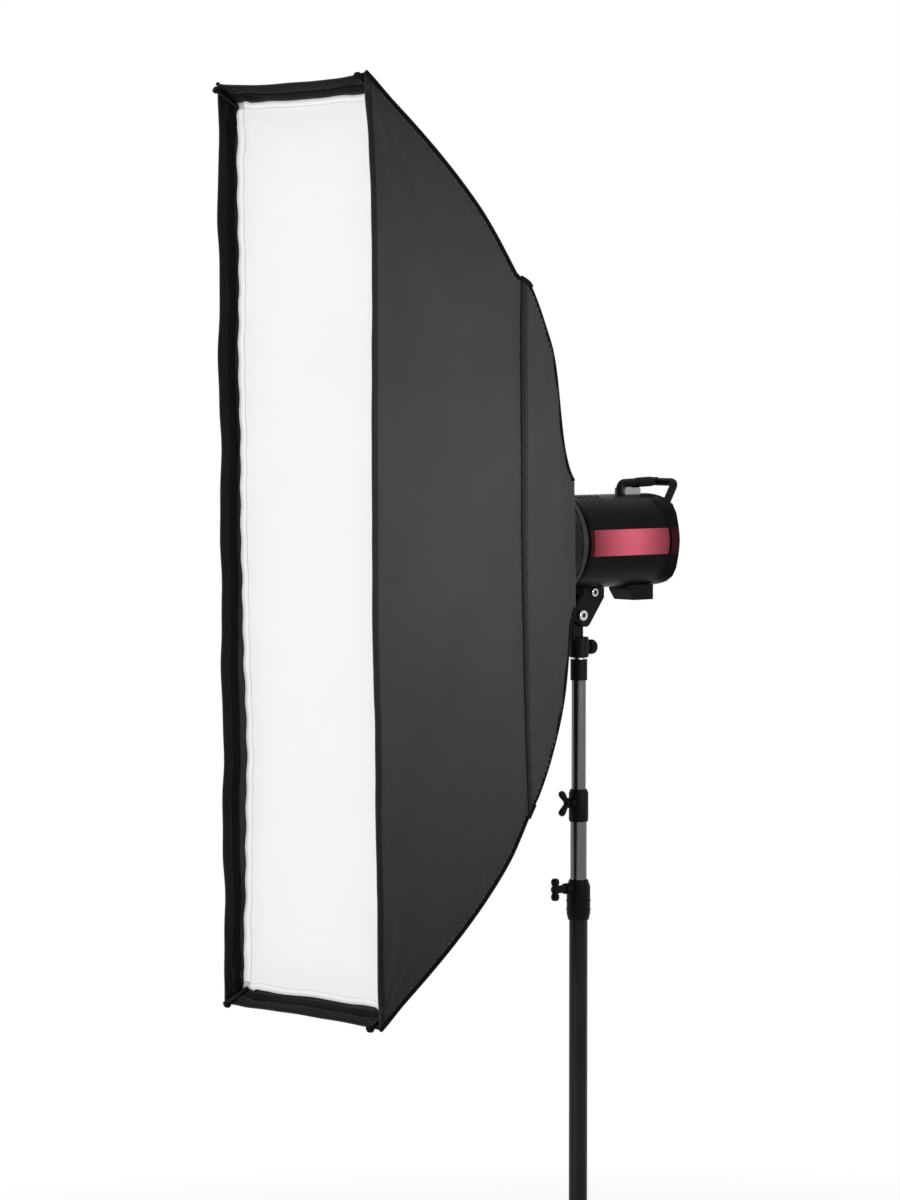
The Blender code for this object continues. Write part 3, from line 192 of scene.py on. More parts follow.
BAND_TAILS = (("front", -0.0357, -0.0306), ("rear", 0.113, 0.1278))
BAND_RISE = 0.0006
BAND_THICKNESS = 0.0012
DIAL_DROP = 0.012
BAR_PLACE = (-0.0167, 0.0228)
BAR_SIZE = (0.0044, 0.0003, 0.0022)
BAR_PITCH = 0.0072
BAR_STEP = 0.0018
VENT_TURNS = (62, 74, 106, 118, 242, 254, 286, 298)
VENT_START = -0.02
VENT_PITCH = 0.009
VENT_HALF = 0.005
VENT_RADIUS = 0.0011
VENT_FLAT = 0.55
SCREW_TURNS = (20, 160, 200, 340)
SCREW_CIRCLE = 0.0475

# Bracket, column and legs. A pivot of a leg or a brace is (distance from the axis, height, rivet's reach)
TILT = (-0.007, 1.201)
ARM_SCREW = (0.0155, 1.2313)
BOLTS = (("tilt_bolt", TILT, 0.0179), ("arm_screw", ARM_SCREW, 0.0164))
ARM_END = (0.017, 1.2365)
ARM_WIDEN = 0.0085
ARM_HALF = 0.009
ARM_BLOCK = (0.015, 0.018)
ARM_SADDLE = 0.008
SOCKET_SCREW_Z = 1.1565
SOCKET_GRIP = (0.0165, 0.027)
TUBE_WALL = 0.001
SLEEVE = (1.1125, 1.1405, 0.0112)
LOWER_CLAMP_RADIUS = 0.0162
BEAD_HEIGHTS = (0.8, 0.812)
PIVOTS = ((0.04, 0.36, 0.0074), (0.025, 0.1, 0.0105))
LEG_AZIMUTHS = (90, 210, 330)

# The photograph's camera
CAMERA_AZIMUTH = 48.9
CAMERA_ELEVATION = 3.19
CAMERA_DISTANCE = 5.8
CAMERA_TARGET = (-0.1745, 1.2208)
FOCAL_PIXELS = 4285.4
FRAME_LONG_SIDE = 1200
SENSOR = 36

# Light from all round, and the floor's glow, whose share grows with the distance
AMBIENT = 0.45
FLOOR_GLOW = (0.4, 1)
FLOOR_DISTANCE = (0.7, 2.4)

# Lamps as (name, target, place to the camera's right, towards it and up, size, watts, spread in degrees)
LAMPS = (("key", (0.12, -0.3, 1.38), (1.75, 1.25, 0.15), 0.3, 1.8, 34),
         ("fill", (0, -0.2, 1.2), (-2.9, 2.6, 0.5), 3, 80, 180),
         ("overhead", (0, -0.2, 1.2), (0, 0, 3.4), 3, 25, 180))

UP = Vector((0, 0, 1))
BACK = Vector((0, 1, 0))
CENTRE = Vector((0, 0, AXIS))
SPIN = (Matrix.Translation(CENTRE) @ Matrix.Rotation(radians(SOFTBOX_TURN), 4, "Y")
        @ Matrix.Translation(-CENTRE))
SIDES = ((1, "right"), (-1, "left"))
ENDS = ((1, "top"), (-1, "bottom"))
CORNERS = ((1, 1, 1), (2, -1, 1), (3, 1, -1), (4, -1, -1))


# Materials


def new_material(name):
    made = bpy.data.materials.new(name)
    made.use_nodes = True
    return made, made.node_tree.nodes["Principled BSDF"]


def assign(thing, **settings):
    for key, value in settings.items():
        setattr(thing, key, value)
    return thing


def node(near, kind, **settings):
    """A new node in the tree that another node or a socket belongs to."""
    return assign(near.id_data.nodes.new("ShaderNode" + kind), **settings)


def preset(made, **values):
    """Sets the inputs of a node by name, with an underscore for each space."""
    for name, value in values.items():
        made.inputs[name.replace("_", " ")].default_value = value


def feed(made, name, source):
    made.id_data.links.new(source, made.inputs[name])


def coordinates(near, scale=(1, 1, 1)):
    mapping = node(near, "Mapping")
    preset(mapping, Scale=scale)
    feed(mapping, "Vector", node(near, "TexCoord").outputs["Object"])
    return mapping.outputs["Vector"]


def noise_of(vector, scale, detail=2, roughness=0.5):
    made = node(vector, "TexNoise")
    preset(made, Scale=scale, Detail=detail, Roughness=roughness)
    feed(made, "Vector", vector)
    return made.outputs["Fac"]


def opaque(colour):
    """A full colour from three values or from one level of grey."""
    return (*colour, 1) if isinstance(colour, tuple) else (colour, colour, colour, 1)


def ramp(source, low, high, start=0.3, end=0.7):
    made = node(source, "ValToRGB")
    first, last = made.color_ramp.elements
    first.position, last.position = start, end
    first.color, last.color = opaque(low), opaque(high)
    feed(made, "Fac", source)
    return made.outputs["Color"]


def spread(source, low, high, start=0, end=1):
    made = node(source, "MapRange")
    preset(made, From_Min=start, From_Max=end, To_Min=low, To_Max=high)
    feed(made, "Value", source)
    return made.outputs["Result"]


def maths(operation, first, second):
    made = node(first, "Math", operation=operation)
    for socket, value in zip(made.inputs, (first, second)):
        if isinstance(value, (int, float)):
            socket.default_value = value
        else:
            made.id_data.links.new(value, socket)
    return made.outputs["Value"]


def blend(first, second, share):
    return maths("ADD", maths("MULTIPLY", first, 1 - share), maths("MULTIPLY", second, share))


def bump(shader, height, distance, strength):
    made = node(shader, "Bump")
    preset(made, Strength=strength, Distance=distance)
    feed(made, "Height", height)
    feed(shader, "Normal", made.outputs["Normal"])


def threads(vector, direction, pitch):
    """Bands of one set of threads, a pitch apart, along one axis."""
    made = node(vector, "TexWave", wave_type="BANDS", bands_direction=direction)
    preset(made, Scale=tau / (20 * pitch), Distortion=0.6, Detail=1)
    feed(made, "Vector", vector)
    return made.outputs["Fac"]


def woven(name, dark, light, pitch, roughness, sheen, depth, axes):
    """Woven cloth: crossed threads, a little mottling, and soft sheen."""
    made, shader = new_material(name)
    where = coordinates(shader)
    weave = maths("MULTIPLY", *(threads(where, axis, pitch) for axis in axes))
    mottle = noise_of(where, 7, 4, 0.6)
    fine = noise_of(where, 420)
    tone = blend(blend(mottle, fine, 0.27), weave, 0.15)
    feed(shader, "Base Color", ramp(tone, dark, light, 0.25, 0.75))
    feed(shader, "Roughness", spread(fine, *roughness))
    preset(shader, Sheen_Weight=sheen, Sheen_Roughness=0.5, Specular_IOR_Level=0.06)
    bump(shader, blend(weave, fine, 0.33), depth, 0.8)
    return made


def nylon(name, dark, light, axes):
    return woven(name, dark, light, 0.0011, (0.62, 0.8), 0.04, 0.00012, axes), "grey_cloth"


def white_cloth(name, dark, light, pitch):
    return woven(name, dark, light, pitch, (0.75, 0.9), 0.03, 0.00006, "XZ"), "white_cloth"


def tape(name, level):
    return woven(name, level * 0.6, level, 0.0022, (0.75, 0.92), 0.02, 0.00035, "ZY"), "grey_cloth"


def plastic(name, colour, worn, roughness=(0.38, 0.55), grain=900, depth=0.00006, gloss=0.16,
            slot="black_plastic"):
    """Moulded plastic with a fine spark grain, slight colour drift and a few rubbed spots."""
    made, shader = new_material(name)
    where = coordinates(shader)
    grains = noise_of(where, grain)
    drift = noise_of(where, 14, 5, 0.65)
    feed(shader, "Base Color", ramp(drift, colour, worn, 0.45, 0.85))
    feed(shader, "Roughness", spread(blend(grains, drift, 0.5), *roughness))
    preset(shader, Specular_IOR_Level=gloss)
    bump(shader, grains, depth, 0.7)
    return made, slot


def metal(name, slot, dark, light, roughness, metallic, along=(900, 900, 12)):
    """Drawn or brushed metal with fine lines along one direction."""
    made, shader = new_material(name)
    lines = noise_of(coordinates(shader, along), 1, 3, 0.7)
    drift = noise_of(coordinates(shader), 18, 4, 0.6)
    tone = blend(lines, drift, 0.5)
    feed(shader, "Base Color", ramp(tone, dark, light))
    feed(shader, "Roughness", spread(tone, *roughness))
    preset(shader, Metallic=metallic, Specular_IOR_Level=0.2)
    bump(shader, lines, 0.00002, 0.6)
    return made, slot


def band_material():
    """Satin red label with a painted highlight, brightest in its middle and darker towards both ends."""
    made, shader = new_material("red_band")
    where = coordinates(shader)
    parts = node(shader, "SeparateXYZ")
    feed(parts, "Vector", where)
    away = maths("ABSOLUTE", maths("SUBTRACT", parts.outputs["Y"], BAND_MIDDLE), 0)
    flecks = noise_of(where, 260)
    # Painted highlight: the red is brightest at the band's middle and grows darker towards its ends
    share = maths("ADD", maths("MULTIPLY", away, 13), maths("MULTIPLY", flecks, 0.12))
    feed(shader, "Base Color", ramp(share, (0.56, 0.088, 0.138), (0.15, 0.007, 0.018), 0.2, 0.95))
    feed(shader, "Roughness", spread(flecks, 0.32, 0.46))
    preset(shader, Specular_IOR_Level=0.25)
    bump(shader, flecks, 0.00002, 0.5)
    return made, "red_label"


def glass(name, colour, rough, clear, slot="lamp_glass"):
    made, shader = new_material(name)
    haze = noise_of(coordinates(shader), 120, 3)
    feed(shader, "Base Color", ramp(haze, tuple(c * 0.94 for c in colour), colour))
    feed(shader, "Roughness", spread(haze, rough, rough + 0.08))
    preset(shader, Transmission_Weight=clear, IOR=1.47)
    return made, slot


# Looks, each a material with the slot that it fills
GREY_CLOTH = nylon("grey_nylon_side", 0.0305, 0.0425, "YZ")
GREY_CLOTH_ENDS = nylon("grey_nylon_ends", 0.03, 0.042, "XZ")
BLACK_CLOTH = nylon("black_nylon", 0.006, 0.011, "XZ")
WHITE_CLOTH = white_cloth("white_diffusion", 0.83, 0.88, 0.0014)
WHITE_HEM = white_cloth("white_hem", 0.88, 0.92, 0.0014)
BLACK_TAPE = tape("black_tape", 0.006)
HEM_TAPE = tape("hem_tape", 0.014)
SEAM_TAPE = tape("seam_tape", 0.022)
PALE_STITCH = nylon("pale_thread", 0.075, 0.105, "XZ")
STITCH = nylon("stitch_thread", 0.018, 0.032, "XZ")
WHITE_STITCH = white_cloth("white_thread", 0.82, 0.88, 0.0006)
BLACK_PLASTIC = plastic("black_plastic", 0.003, 0.008, gloss=0.08)
SATIN_PLASTIC = plastic("satin_plastic", 0.0025, 0.006, (0.28, 0.4), 1300, 0.00003, 0.045)
PALE_PLASTIC = plastic("pale_plastic", 0.34, 0.42, (0.4, 0.55))
GREY_PLASTIC = plastic("grey_plastic", 0.26, 0.34, (0.35, 0.5))
RUBBER = plastic("black_rubber", 0.01, 0.022, (0.72, 0.9), 500, 0.00012, 0.1, "rubber")
TUBE_METAL = metal("anodised_tube", "column_alloy", 0.1, 0.145, (0.17, 0.25), 0.95)
DARK_TUBE = metal("dark_tube", "column_alloy", 0.008, 0.018, (0.28, 0.4), 0.6)
ROD_METAL = metal("black_rod", "spigot_steel", 0.004, 0.009, (0.4, 0.55), 0.3)
STEEL = metal("bright_steel", "spigot_steel", 0.48, 0.66, (0.18, 0.32), 1)
RING_METAL = metal("painted_alloy", "ring_alloy", 0.014, 0.026, (0.4, 0.55), 0.3, (200, 200, 200))
RED_BAND = band_material()
DARK_RED = plastic("dark_red_band", (0.026, 0.002, 0.004), (0.045, 0.004, 0.008), (0.4, 0.55), gloss=0.06,
                   slot="red_label")
RED_PLASTIC = plastic("red_plastic", (0.42, 0.012, 0.03), (0.5, 0.03, 0.05), (0.25, 0.4), slot="red_label")
LAMP_GLASS = glass("lamp_glass", (0.95, 0.95, 0.92), 0.04, 0.85)
FROSTED = glass("frosted_glass", (0.93, 0.92, 0.88), 0.4, 0.6)
CERAMIC = plastic("white_ceramic", (0.72, 0.71, 0.68), (0.8, 0.79, 0.77), (0.3, 0.45), slot="lamp_glass")
SCREEN = glass("display_glass", (0.01, 0.016, 0.02), 0.06, 0, "display")

# The same materials in other slots
BUTTON_GREY = (GREY_PLASTIC[0], "rubber")
VENT_BLACK = (RUBBER[0], "black_plastic")
BAR_WHITE = (CERAMIC[0], "display")
DARK_STEEL = (DARK_TUBE[0], "spigot_steel")

# Tapes along the lip as (name, first depth, last depth, lift, thickness, look)
LIP_TAPES = (("hem", 0, 0.009, 0.0005, 0.0022, SEAM_TAPE),
             ("hook_tape", 0.0015, 0.0115, -0.0016, 0.001, HEM_TAPE),
             ("loop_tape", 0.0135, 0.0235, -0.0012, 0.0012, BLACK_TAPE))

# Column tubes as (node, body, radius, bottom, top, look)
TUBES = (("lower_tube", "stand_base", 0.0126, 0.07, 0.808, DARK_TUBE),
         ("middle_tube", "middle_section", 0.0112, 0.2, 0.932, TUBE_METAL),
         ("top_tube", "top_section", 0.0098, 0.33, 1.1244, TUBE_METAL))


# Shape tools


def finish_piece(obj, body, look=BLACK_PLASTIC, replaced=(), from_cad=False):
    """Gives a new piece its material and its body, and hides the CAD nodes that it stands for."""
    mat, slot = look
    if body in ("softbox", "ring_lock") and not from_cad:
        obj.data.transform(SPIN)
    obj.data.materials.clear()
    obj.data.materials.append(mat)
    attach(obj, body)
    if replaced:
        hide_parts(*replaced)
    return obj


def sewn(obj, look, replaced=()):
    """Finishes a cloth or webbing piece of the softbox."""
    return finish_piece(obj, "softbox", look, replaced)


def linked(name, data):
    obj = bpy.data.objects.new(name, data)
    bpy.context.scene.collection.objects.link(obj)
    return obj


def mesh_object(name, points, faces):
    mesh = bpy.data.meshes.new(name)
    mesh.from_pydata([tuple(p) for p in points], [], faces)
    mesh.validate()
    return linked(name, mesh)


def smooth(obj, angle):
    obj.data.shade_smooth()
    obj.data.set_sharp_from_angle(angle=radians(angle))
    return obj


def facing_out(obj):
    shape = bmesh.new()
    shape.from_mesh(obj.data)
    bmesh.ops.recalc_face_normals(shape, faces=shape.faces)
    shape.to_mesh(obj.data)
    shape.free()
    return obj


def thicken(obj, thickness):
    assign(obj.modifiers.new("Thickness", "SOLIDIFY"), thickness=thickness, offset=-1)
    return obj


def grid(name, rows, flip=False, thickness=0):
    """A cloth made of rows of points, thickened away from its outer face."""
    count = len(rows[0])
    faces = []
    for i in range(len(rows) - 1):
        for j in range(count - 1):
            a = i * count + j
            face = (a, a + count, a + count + 1, a + 1)
            faces.append(face[::-1] if flip else face)
    obj = mesh_object(name, [p for row in rows for p in row], faces)
    obj.data.shade_smooth()
    return thicken(obj, thickness) if thickness else obj


def loop_faces(rings, count, wrap=False):
    """Faces of a skin over rings of equally many points. A wrap joins the last ring to the first."""
    faces = []
    for i in range(rings if wrap else rings - 1):
        for j in range(count):
            k, n = (j + 1) % count, (i + 1) % rings
            faces.append((i * count + j, i * count + k, n * count + k, n * count + j))
    return faces


def skin(name, rings, capped=True, wrap=False, angle=38):
    count = len(rings[0])
    faces = loop_faces(len(rings), count, wrap)
    if capped and not wrap:
        faces.append(tuple(reversed(range(count))))
        faces.append(tuple(range((len(rings) - 1) * count, len(rings) * count)))
    return smooth(facing_out(mesh_object(name, [p for ring in rings for p in ring], faces)), angle)


def axes_for(along):
    along = Vector(along).normalized()
    side = along.cross(Vector((1, 0, 0)) if abs(along.x) < 0.9 else BACK).normalized()
    return along, side, along.cross(side)


def turned(name, profile, at, along, steps, body, look=BLACK_PLASTIC, replaced=(), knurl=None, hollow=False):
    """A turned piece from (radius, height) pairs. A knurl is (first, last, teeth, depth) in heights."""
    along, side, other = axes_for(along)
    rings = []
    for radius, height in profile:
        row = []
        for j in range(steps):
            turn = tau * j / steps
            r = radius
            if knurl and knurl[0] <= height <= knurl[1]:
                r -= knurl[3] * (0.5 + 0.5 * cos(turn * knurl[2]))
            row.append(Vector(at) + along * height + (side * cos(turn) + other * sin(turn)) * r)
        rings.append(row)
    finish_piece(skin(name, rings, True, hollow), body, look, replaced)


def sweep(name, path, radius, sides, flat=1, closed=False):
    """A round or flattened bar along a path of points."""
    path = [Vector(p) for p in path]
    last = len(path) - 1
    rings = []
    normal = None
    for i, spot in enumerate(path):
        before = path[i - 1] if i or closed else spot
        after = path[(i + 1) % (last + 1)] if i < last or closed else spot
        ahead = (after - before).normalized()
        if normal is None:
            normal = axes_for(ahead)[1]
        normal = (normal - ahead * normal.dot(ahead)).normalized()
        other = ahead.cross(normal) * flat
        turns = [tau * j / sides for j in range(sides)]
        rings.append([spot + (normal * cos(a) + other * sin(a)) * radius for a in turns])
    return skin(name, rings, True, closed)


def slab(name, low, high, bevel, body, look):
    """A box with rounded edges."""
    mesh = bpy.data.meshes.new(name)
    shape = bmesh.new()
    bmesh.ops.create_cube(shape, size=1)
    low, high = Vector(low), Vector(high)
    for vert in shape.verts:
        vert.co = Vector(low[i] + (vert.co[i] + 0.5) * (high[i] - low[i]) for i in range(3))
    bmesh.ops.bevel(shape, geom=shape.edges[:], offset=bevel, segments=3, profile=0.5, affect="EDGES")
    shape.to_mesh(mesh)
    shape.free()
    finish_piece(smooth(linked(name, mesh), 40), body, look)


def refined(cad_node, body, look=BLACK_PLASTIC, bevel=0.0005):
    """The CAD solid again with welded faces, eased edges and smooth shading."""
    mesh = frame["nodes"][cad_node].data.copy()
    obj = linked(cad_node + "_fine", mesh)
    shape = bmesh.new()
    shape.from_mesh(mesh)
    bmesh.ops.remove_doubles(shape, verts=shape.verts, dist=0.000002)
    bmesh.ops.dissolve_limit(shape, angle_limit=radians(0.5), verts=shape.verts, edges=shape.edges)
    bmesh.ops.recalc_face_normals(shape, faces=shape.faces)
    shape.to_mesh(mesh)
    shape.free()
    if "custom_normal" in mesh.attributes:
        mesh.attributes.remove(mesh.attributes["custom_normal"])
    smooth(obj, 32)
    if bevel:
        assign(obj.modifiers.new("Ease", "BEVEL"), width=bevel, segments=2, limit_method="ANGLE",
               angle_limit=radians(38), harden_normals=True)
    return finish_piece(obj, body, look, (cad_node,), True)


def reshaped(obj, move):
    for vert in obj.data.vertices:
        vert.co = move(vert.co)


def around(turn):
    """The unit direction square to the light axis at an angle in degrees."""
    angle = radians(turn)
    return Vector((cos(angle), 0, sin(angle)))


# Softbox cloth


def corner(t):
    """The shell's corner line at a share of its length, as (half width, depth, half height)."""
    a, b, c, d = (Vector(p) for p in CORNER_LINE)
    u = 1 - t
    return a * u**3 + b * (3 * u * u * t) + c * (3 * u * t * t) + d * t**3


def inward(t):
    """The unit direction across the corner line into the box, as (depth, height)."""
    slope = corner(min(t + 0.001, 1)) - corner(max(t - 0.001, 0))
    length = hypot(slope.y, slope.z)
    return slope.z / length, -slope.y / length


def at_depth(depth):
    low, high = 0, 1
    for _ in range(40):
        middle = (low + high) / 2
        low, high = (middle, high) if corner(middle).y < depth else (low, middle)
    return low


def fade(value, start, end):
    share = min(1, max(0, (value - start) / (end - start)))
    return share * share * (3 - 2 * share)


def spaced(first, last, count):
    return [first + (last - first) * i / count for i in range(count + 1)]


def standoff(end, depth):
    """How far a sewn edge stands off the corner line at a depth."""
    table = TOP_STANDOFF if end > 0 else BOTTOM_STANDOFF
    for (start, first), (stop, last) in zip(table, table[1:]):
        if depth <= stop:
            return first + (last - first) * fade(depth, start, stop)
    return table[-1][1]


def lip_share(depth):
    return 1 - fade(depth, 0, LIP_REACH)


def edge(side, end, t, lift=0):
    """A point on a sewn edge as (half width, depth, half height). The lift dies out at the ring."""
    spot, (n_depth, n_height) = corner(t), inward(t)
    off = standoff(end, spot.y)
    lift *= fade(1 - t, 0, LIFT_END)
    rack = LIP_RACK * end * (side - 1) / 2 * (1 - fade(spot.y, 0, RACK_REACH))
    flare = lip_share(spot.y)
    wide, tall = LIP_SHIFT[side, end]
    half = spot.x + STANDOFF_SIDEWAYS * off + lift + rack + wide * flare
    return Vector((half, spot.y - n_depth * (off + lift), spot.z - n_height * (off + lift) + tall * flare))


def lip_wave(along, depth, phase):
    """The slow waviness of the free front edge."""
    still = exp(-max(depth, 0) / WAVE_REACH)
    slow = sin(tau * along / WAVE_LENGTH + phase)
    ripple = sin(tau * along / RIPPLE_LENGTH + 2.1 * phase)
    return WAVE_SIZE * still * (slow + RIPPLE_SHARE * ripple)


def corner_folds(depth, gap):
    """Tension folds that fan out from a front corner. Gap is the distance from the corner along the lip."""
    reach = hypot(depth, gap)
    turn = atan2(gap, max(depth, 0) + 0.001)
    broad, narrow = FOLD_SIZES
    fan = broad * sin(11 * turn) + narrow * sin(25 * turn + 1)
    return fan * exp(-reach / FOLD_REACH) * fade(reach, 0, FOLD_CALM)


def edge_gathers(depth, gap):
    """Short gathers where the cloth is sewn to the curved edge."""
    gather = GATHER_SIZE * sin(tau * depth / GATHER_PITCH)
    return gather * fade(gap, 0, GATHER_CALM) * exp(-gap / GATHER_REACH)


def soft_relief(spot, depth, gap, seed):
    """Slack, tension folds, edge gathers and the pull of the seam, as an outward offset."""
    broad, narrow = SLACK_SIZES
    slack = noise.noise(Vector((spot[0] * 5, spot[1] * 6, seed))) * broad
    small = noise.noise(Vector((spot[0] * 17, spot[1] * 21, seed + 5))) * narrow
    pucker = PUCKER_SIZE * sin(tau * spot[1] / PUCKER_PITCH)
    pucker *= exp(-abs(depth - SEAM_DEPTH) / PUCKER_REACH)
    loose = (slack + small + pucker) * fade(gap, 0, SLACK_CALM)
    return loose + corner_folds(depth, gap) + edge_gathers(depth, gap)


def side_point(side, t, s, lift=0):
    """A point of a side panel, from the bottom edge at s = -1 to the top edge at s = 1."""
    low, high = edge(side, -1, t, lift), edge(side, 1, t, lift)
    share = (s + 1) / 2
    along = high.z * share - low.z * (1 - share)
    half, depth = low.lerp(high, share).xy
    gap = min(high.z - along, along + low.z)
    sag = SIDE_SAG * sin(pi * t) * (1 - s * s)
    wave = lip_wave(along, depth, 1.2 + 0.8 * side) * fade(gap, 0, SIDE_CALM)
    upwards, inwards = BULGE_REACH
    swell = exp(-(((along - BULGE_HEIGHT) / upwards) ** 2)) * exp(-depth / inwards)
    bulge = BULGE * (side + 1) / 2 * fade(gap, 0, SIDE_CALM) * swell
    half += wave + bulge - sag + soft_relief((depth, along), depth, gap, 3 * side)
    return Vector((side * half, LIP_Y + depth - 0.6 * wave, AXIS + along))


def end_point(end, t, s, lift=0):
    """A point of the top or bottom panel, from the left edge at s = -1 to the right edge at s = 1."""
    left, spot, (n_depth, n_height) = edge(-1, end, t, lift), edge(1, end, t, lift), inward(t)
    along = (spot.x * (1 + s) - left.x * (1 - s)) / 2
    gap = min(spot.x - along, along + left.x)
    sag = END_SAG * sin(pi * t) * (1 - s * s)
    wave = lip_wave(along, spot.y, 1.1 * end) * END_WAVE * fade(gap, 0, END_CALM)
    inset = sag - wave - soft_relief((spot.y, along), spot.y, gap, 7 + end)
    height = left.lerp(spot, (s + 1) / 2).z - LIP_SAG[end] * (1 - s * s) * lip_share(spot.y)
    return Vector((along, LIP_Y + spot.y + n_depth * inset, AXIS + end * (height + n_height * inset)))


def cloth_rows(point, which, first, last, steps, across, lift):
    columns = spaced(-1, 1, across)
    return [[point(which, t, s, lift) for s in columns] for t in spaced(first, last, steps)]


def panel(name, wall, first, last, steps, lift, replaced=()):
    """One sewn cloth panel."""
    point, which, look, flip, across = wall
    rows = cloth_rows(point, which, first, last, steps, across, lift)
    obj = sewn(grid(name, rows, flip, CLOTH), look, replaced)


def ribbon(name, wall, first, last, lift, thickness, look):
    """A flat tape that follows a panel between two depths."""
    point, which, _, flip, across = wall
    rows = cloth_rows(point, which, at_depth(first), at_depth(last), 3, across, lift)
    sewn(grid(name, rows, flip, thickness), look)


def along_path(spots, pitch, length):
    """The two ends of each stitch along a path of points."""
    runs = [0]
    for a, b in zip(spots, spots[1:]):
        runs.append(runs[-1] + (b - a).length)

    def place(distance):
        i = 0
        while i < len(spots) - 2 and runs[i + 1] < distance:
            i += 1
        share = (distance - runs[i]) / max(1e-9, runs[i + 1] - runs[i])
        return spots[i].lerp(spots[i + 1], min(1, max(0, share)))

    starts = [n * pitch for n in range(int(runs[-1] / pitch))]
    return [(place(at), place(at + length)) for at in starts]


def stitches(name, path, look, pitch=0.006, length=0.0042, radius=0.00045):
    """A run of separate thread stitches along a path, as one mesh."""
    points, faces = [], []
    for start, end in along_path([Vector(p) for p in path], pitch, length):
        _, side, other = axes_for(end - start)
        base = len(points)
        for share, swell in ((0, 0.35), (0.2, 1), (0.8, 1), (1, 0.35)):
            middle = start.lerp(end, share)
            for c, s in ((1, 0), (0, 1), (-1, 0), (0, -1)):
                points.append(middle + (side * c + other * s) * radius * swell)
        for face in loop_faces(4, 4) + [(3, 2, 1, 0), (12, 13, 14, 15)]:
            faces.append(tuple(base + v for v in face))
    sewn(smooth(facing_out(mesh_object(name, points, faces)), 60), look)


def wall_stitches(name, wall, depth, lift):
    point, which, _, _, across = wall
    t = at_depth(depth)
    stitches(name, [point(which, t, s, lift) for s in spaced(-STITCHED, STITCHED, across)], STITCH)


def wall_pieces(word, node_name, wall):
    """One side of the shell: a front section, a rear section lapped over it, the seam and the lip."""
    lap = SEAM_DEPTH - SEAM_LAP
    panel(f"{word}_front", wall, 0, at_depth(SEAM_DEPTH + SEAM_LAP), 90, 0, (node_name,))
    panel(f"{word}_rear", wall, at_depth(lap), 1, 40, REAR_LIFT)
    first, last, lift, thickness = BINDING
    ribbon(f"{word}_binding", wall, lap + first, lap + last, REAR_LIFT + lift, thickness, SEAM_TAPE)
    wall_stitches(f"{word}_stitches", wall, SEAM_STITCH_DEPTH, REAR_LIFT + SEAM_STITCH_LIFT)
    for kind, *sizes in LIP_TAPES:
        ribbon(f"{word}_{kind}", wall, *sizes)
    wall_stitches(f"{word}_hem_stitches", wall, HEM_STITCH_DEPTH, HEM_STITCH_LIFT)


def shell():
    for side, word in SIDES:
        wall_pieces(f"side_{word}", f"side_panel_{word}", (side_point, side, GREY_CLOTH, side < 0, 160))
    for end, word in ENDS:
        wall_pieces(word, f"{word}_panel", (end_point, end, GREY_CLOTH_ENDS, end > 0, 40))
    for number, side, end in CORNERS:
        sewn_edge(number, side, end)


def on_edge(side, end, t, lift):
    spot = edge(side, end, t, lift)
    return Vector((side * spot.x, LIP_Y + spot.y, AXIS + end * spot.z))


def sewn_edge(number, side, end):
    """Black cord sewn into a curved edge, its thread, and the folded end of the seam."""
    path = [on_edge(side, end, t, PIPING_LIFT) for t in spaced(0, STITCHED, 110)]
    sewn(sweep(f"piping_{number}", path, PIPING_RADIUS, 10), BLACK_TAPE)
    rise = [at_depth(SEAM_DEPTH - before) for before in EDGE_RISE]
    for word, point, which, across in (("side", side_point, side, end), ("end", end_point, end, side)):
        path = []
        for t in spaced(0.02, 0.95, 110):
            spot = edge(side, end, t)
            span = spot.z if word == "side" else spot.x
            lift = EDGE_STITCH_LIFT + REAR_LIFT * fade(t, *rise)
            path.append(point(which, t, across * (1 - EDGE_STITCH_INSET / span), lift))
        stitches(f"edge_stitches_{number}_{word}", path, PALE_STITCH, *EDGE_STITCH)
    seam = at_depth(SEAM_DEPTH - SEAM_LAP)
    knot = [on_edge(side, end, t, KNOT_LIFT) for t in spaced(seam - 0.004, seam + 0.022, 6)]
    sewn(sweep(f"seam_end_{number}", knot, KNOT_RADIUS, 10, KNOT_FLAT), BLACK_TAPE)


def white_sheet(cad_node, rows, thickness):
    """A white cloth in place of its CAD solid."""
    cloth = grid(cad_node + "_cloth", rows, True, thickness)
    sewn(cloth, WHITE_CLOTH, (cad_node,))


def diffuser_relief(u, v, x, height, spot):
    """How far the white cloth lies behind its flat place, at shares u of its width and v of its height."""
    bow = DIFFUSER_BOW * (1 - u * u) * (1 - v**4)
    rim = max(abs(u), 1 - (1 - abs(v)) * 4)
    scallop = SCALLOP_SIZE * sin(tau * height / SCALLOP_PITCH) * fade(abs(u), 0.72, 1)
    slack = noise.noise(Vector((x * 6, height * 5, 2))) * DIFFUSER_SLACK * fade(1 - rim, 0, 0.2)
    fan = corner_folds((1 - abs(u)) * spot.x, (1 - abs(v)) * spot.z) * 0.8
    dip = DIFFUSER_DIP * exp(-(((v + 0.5) / 0.38) ** 2))
    return (scallop + slack + fan + dip) * fade(1 - abs(v), 0, 0.03) - bow


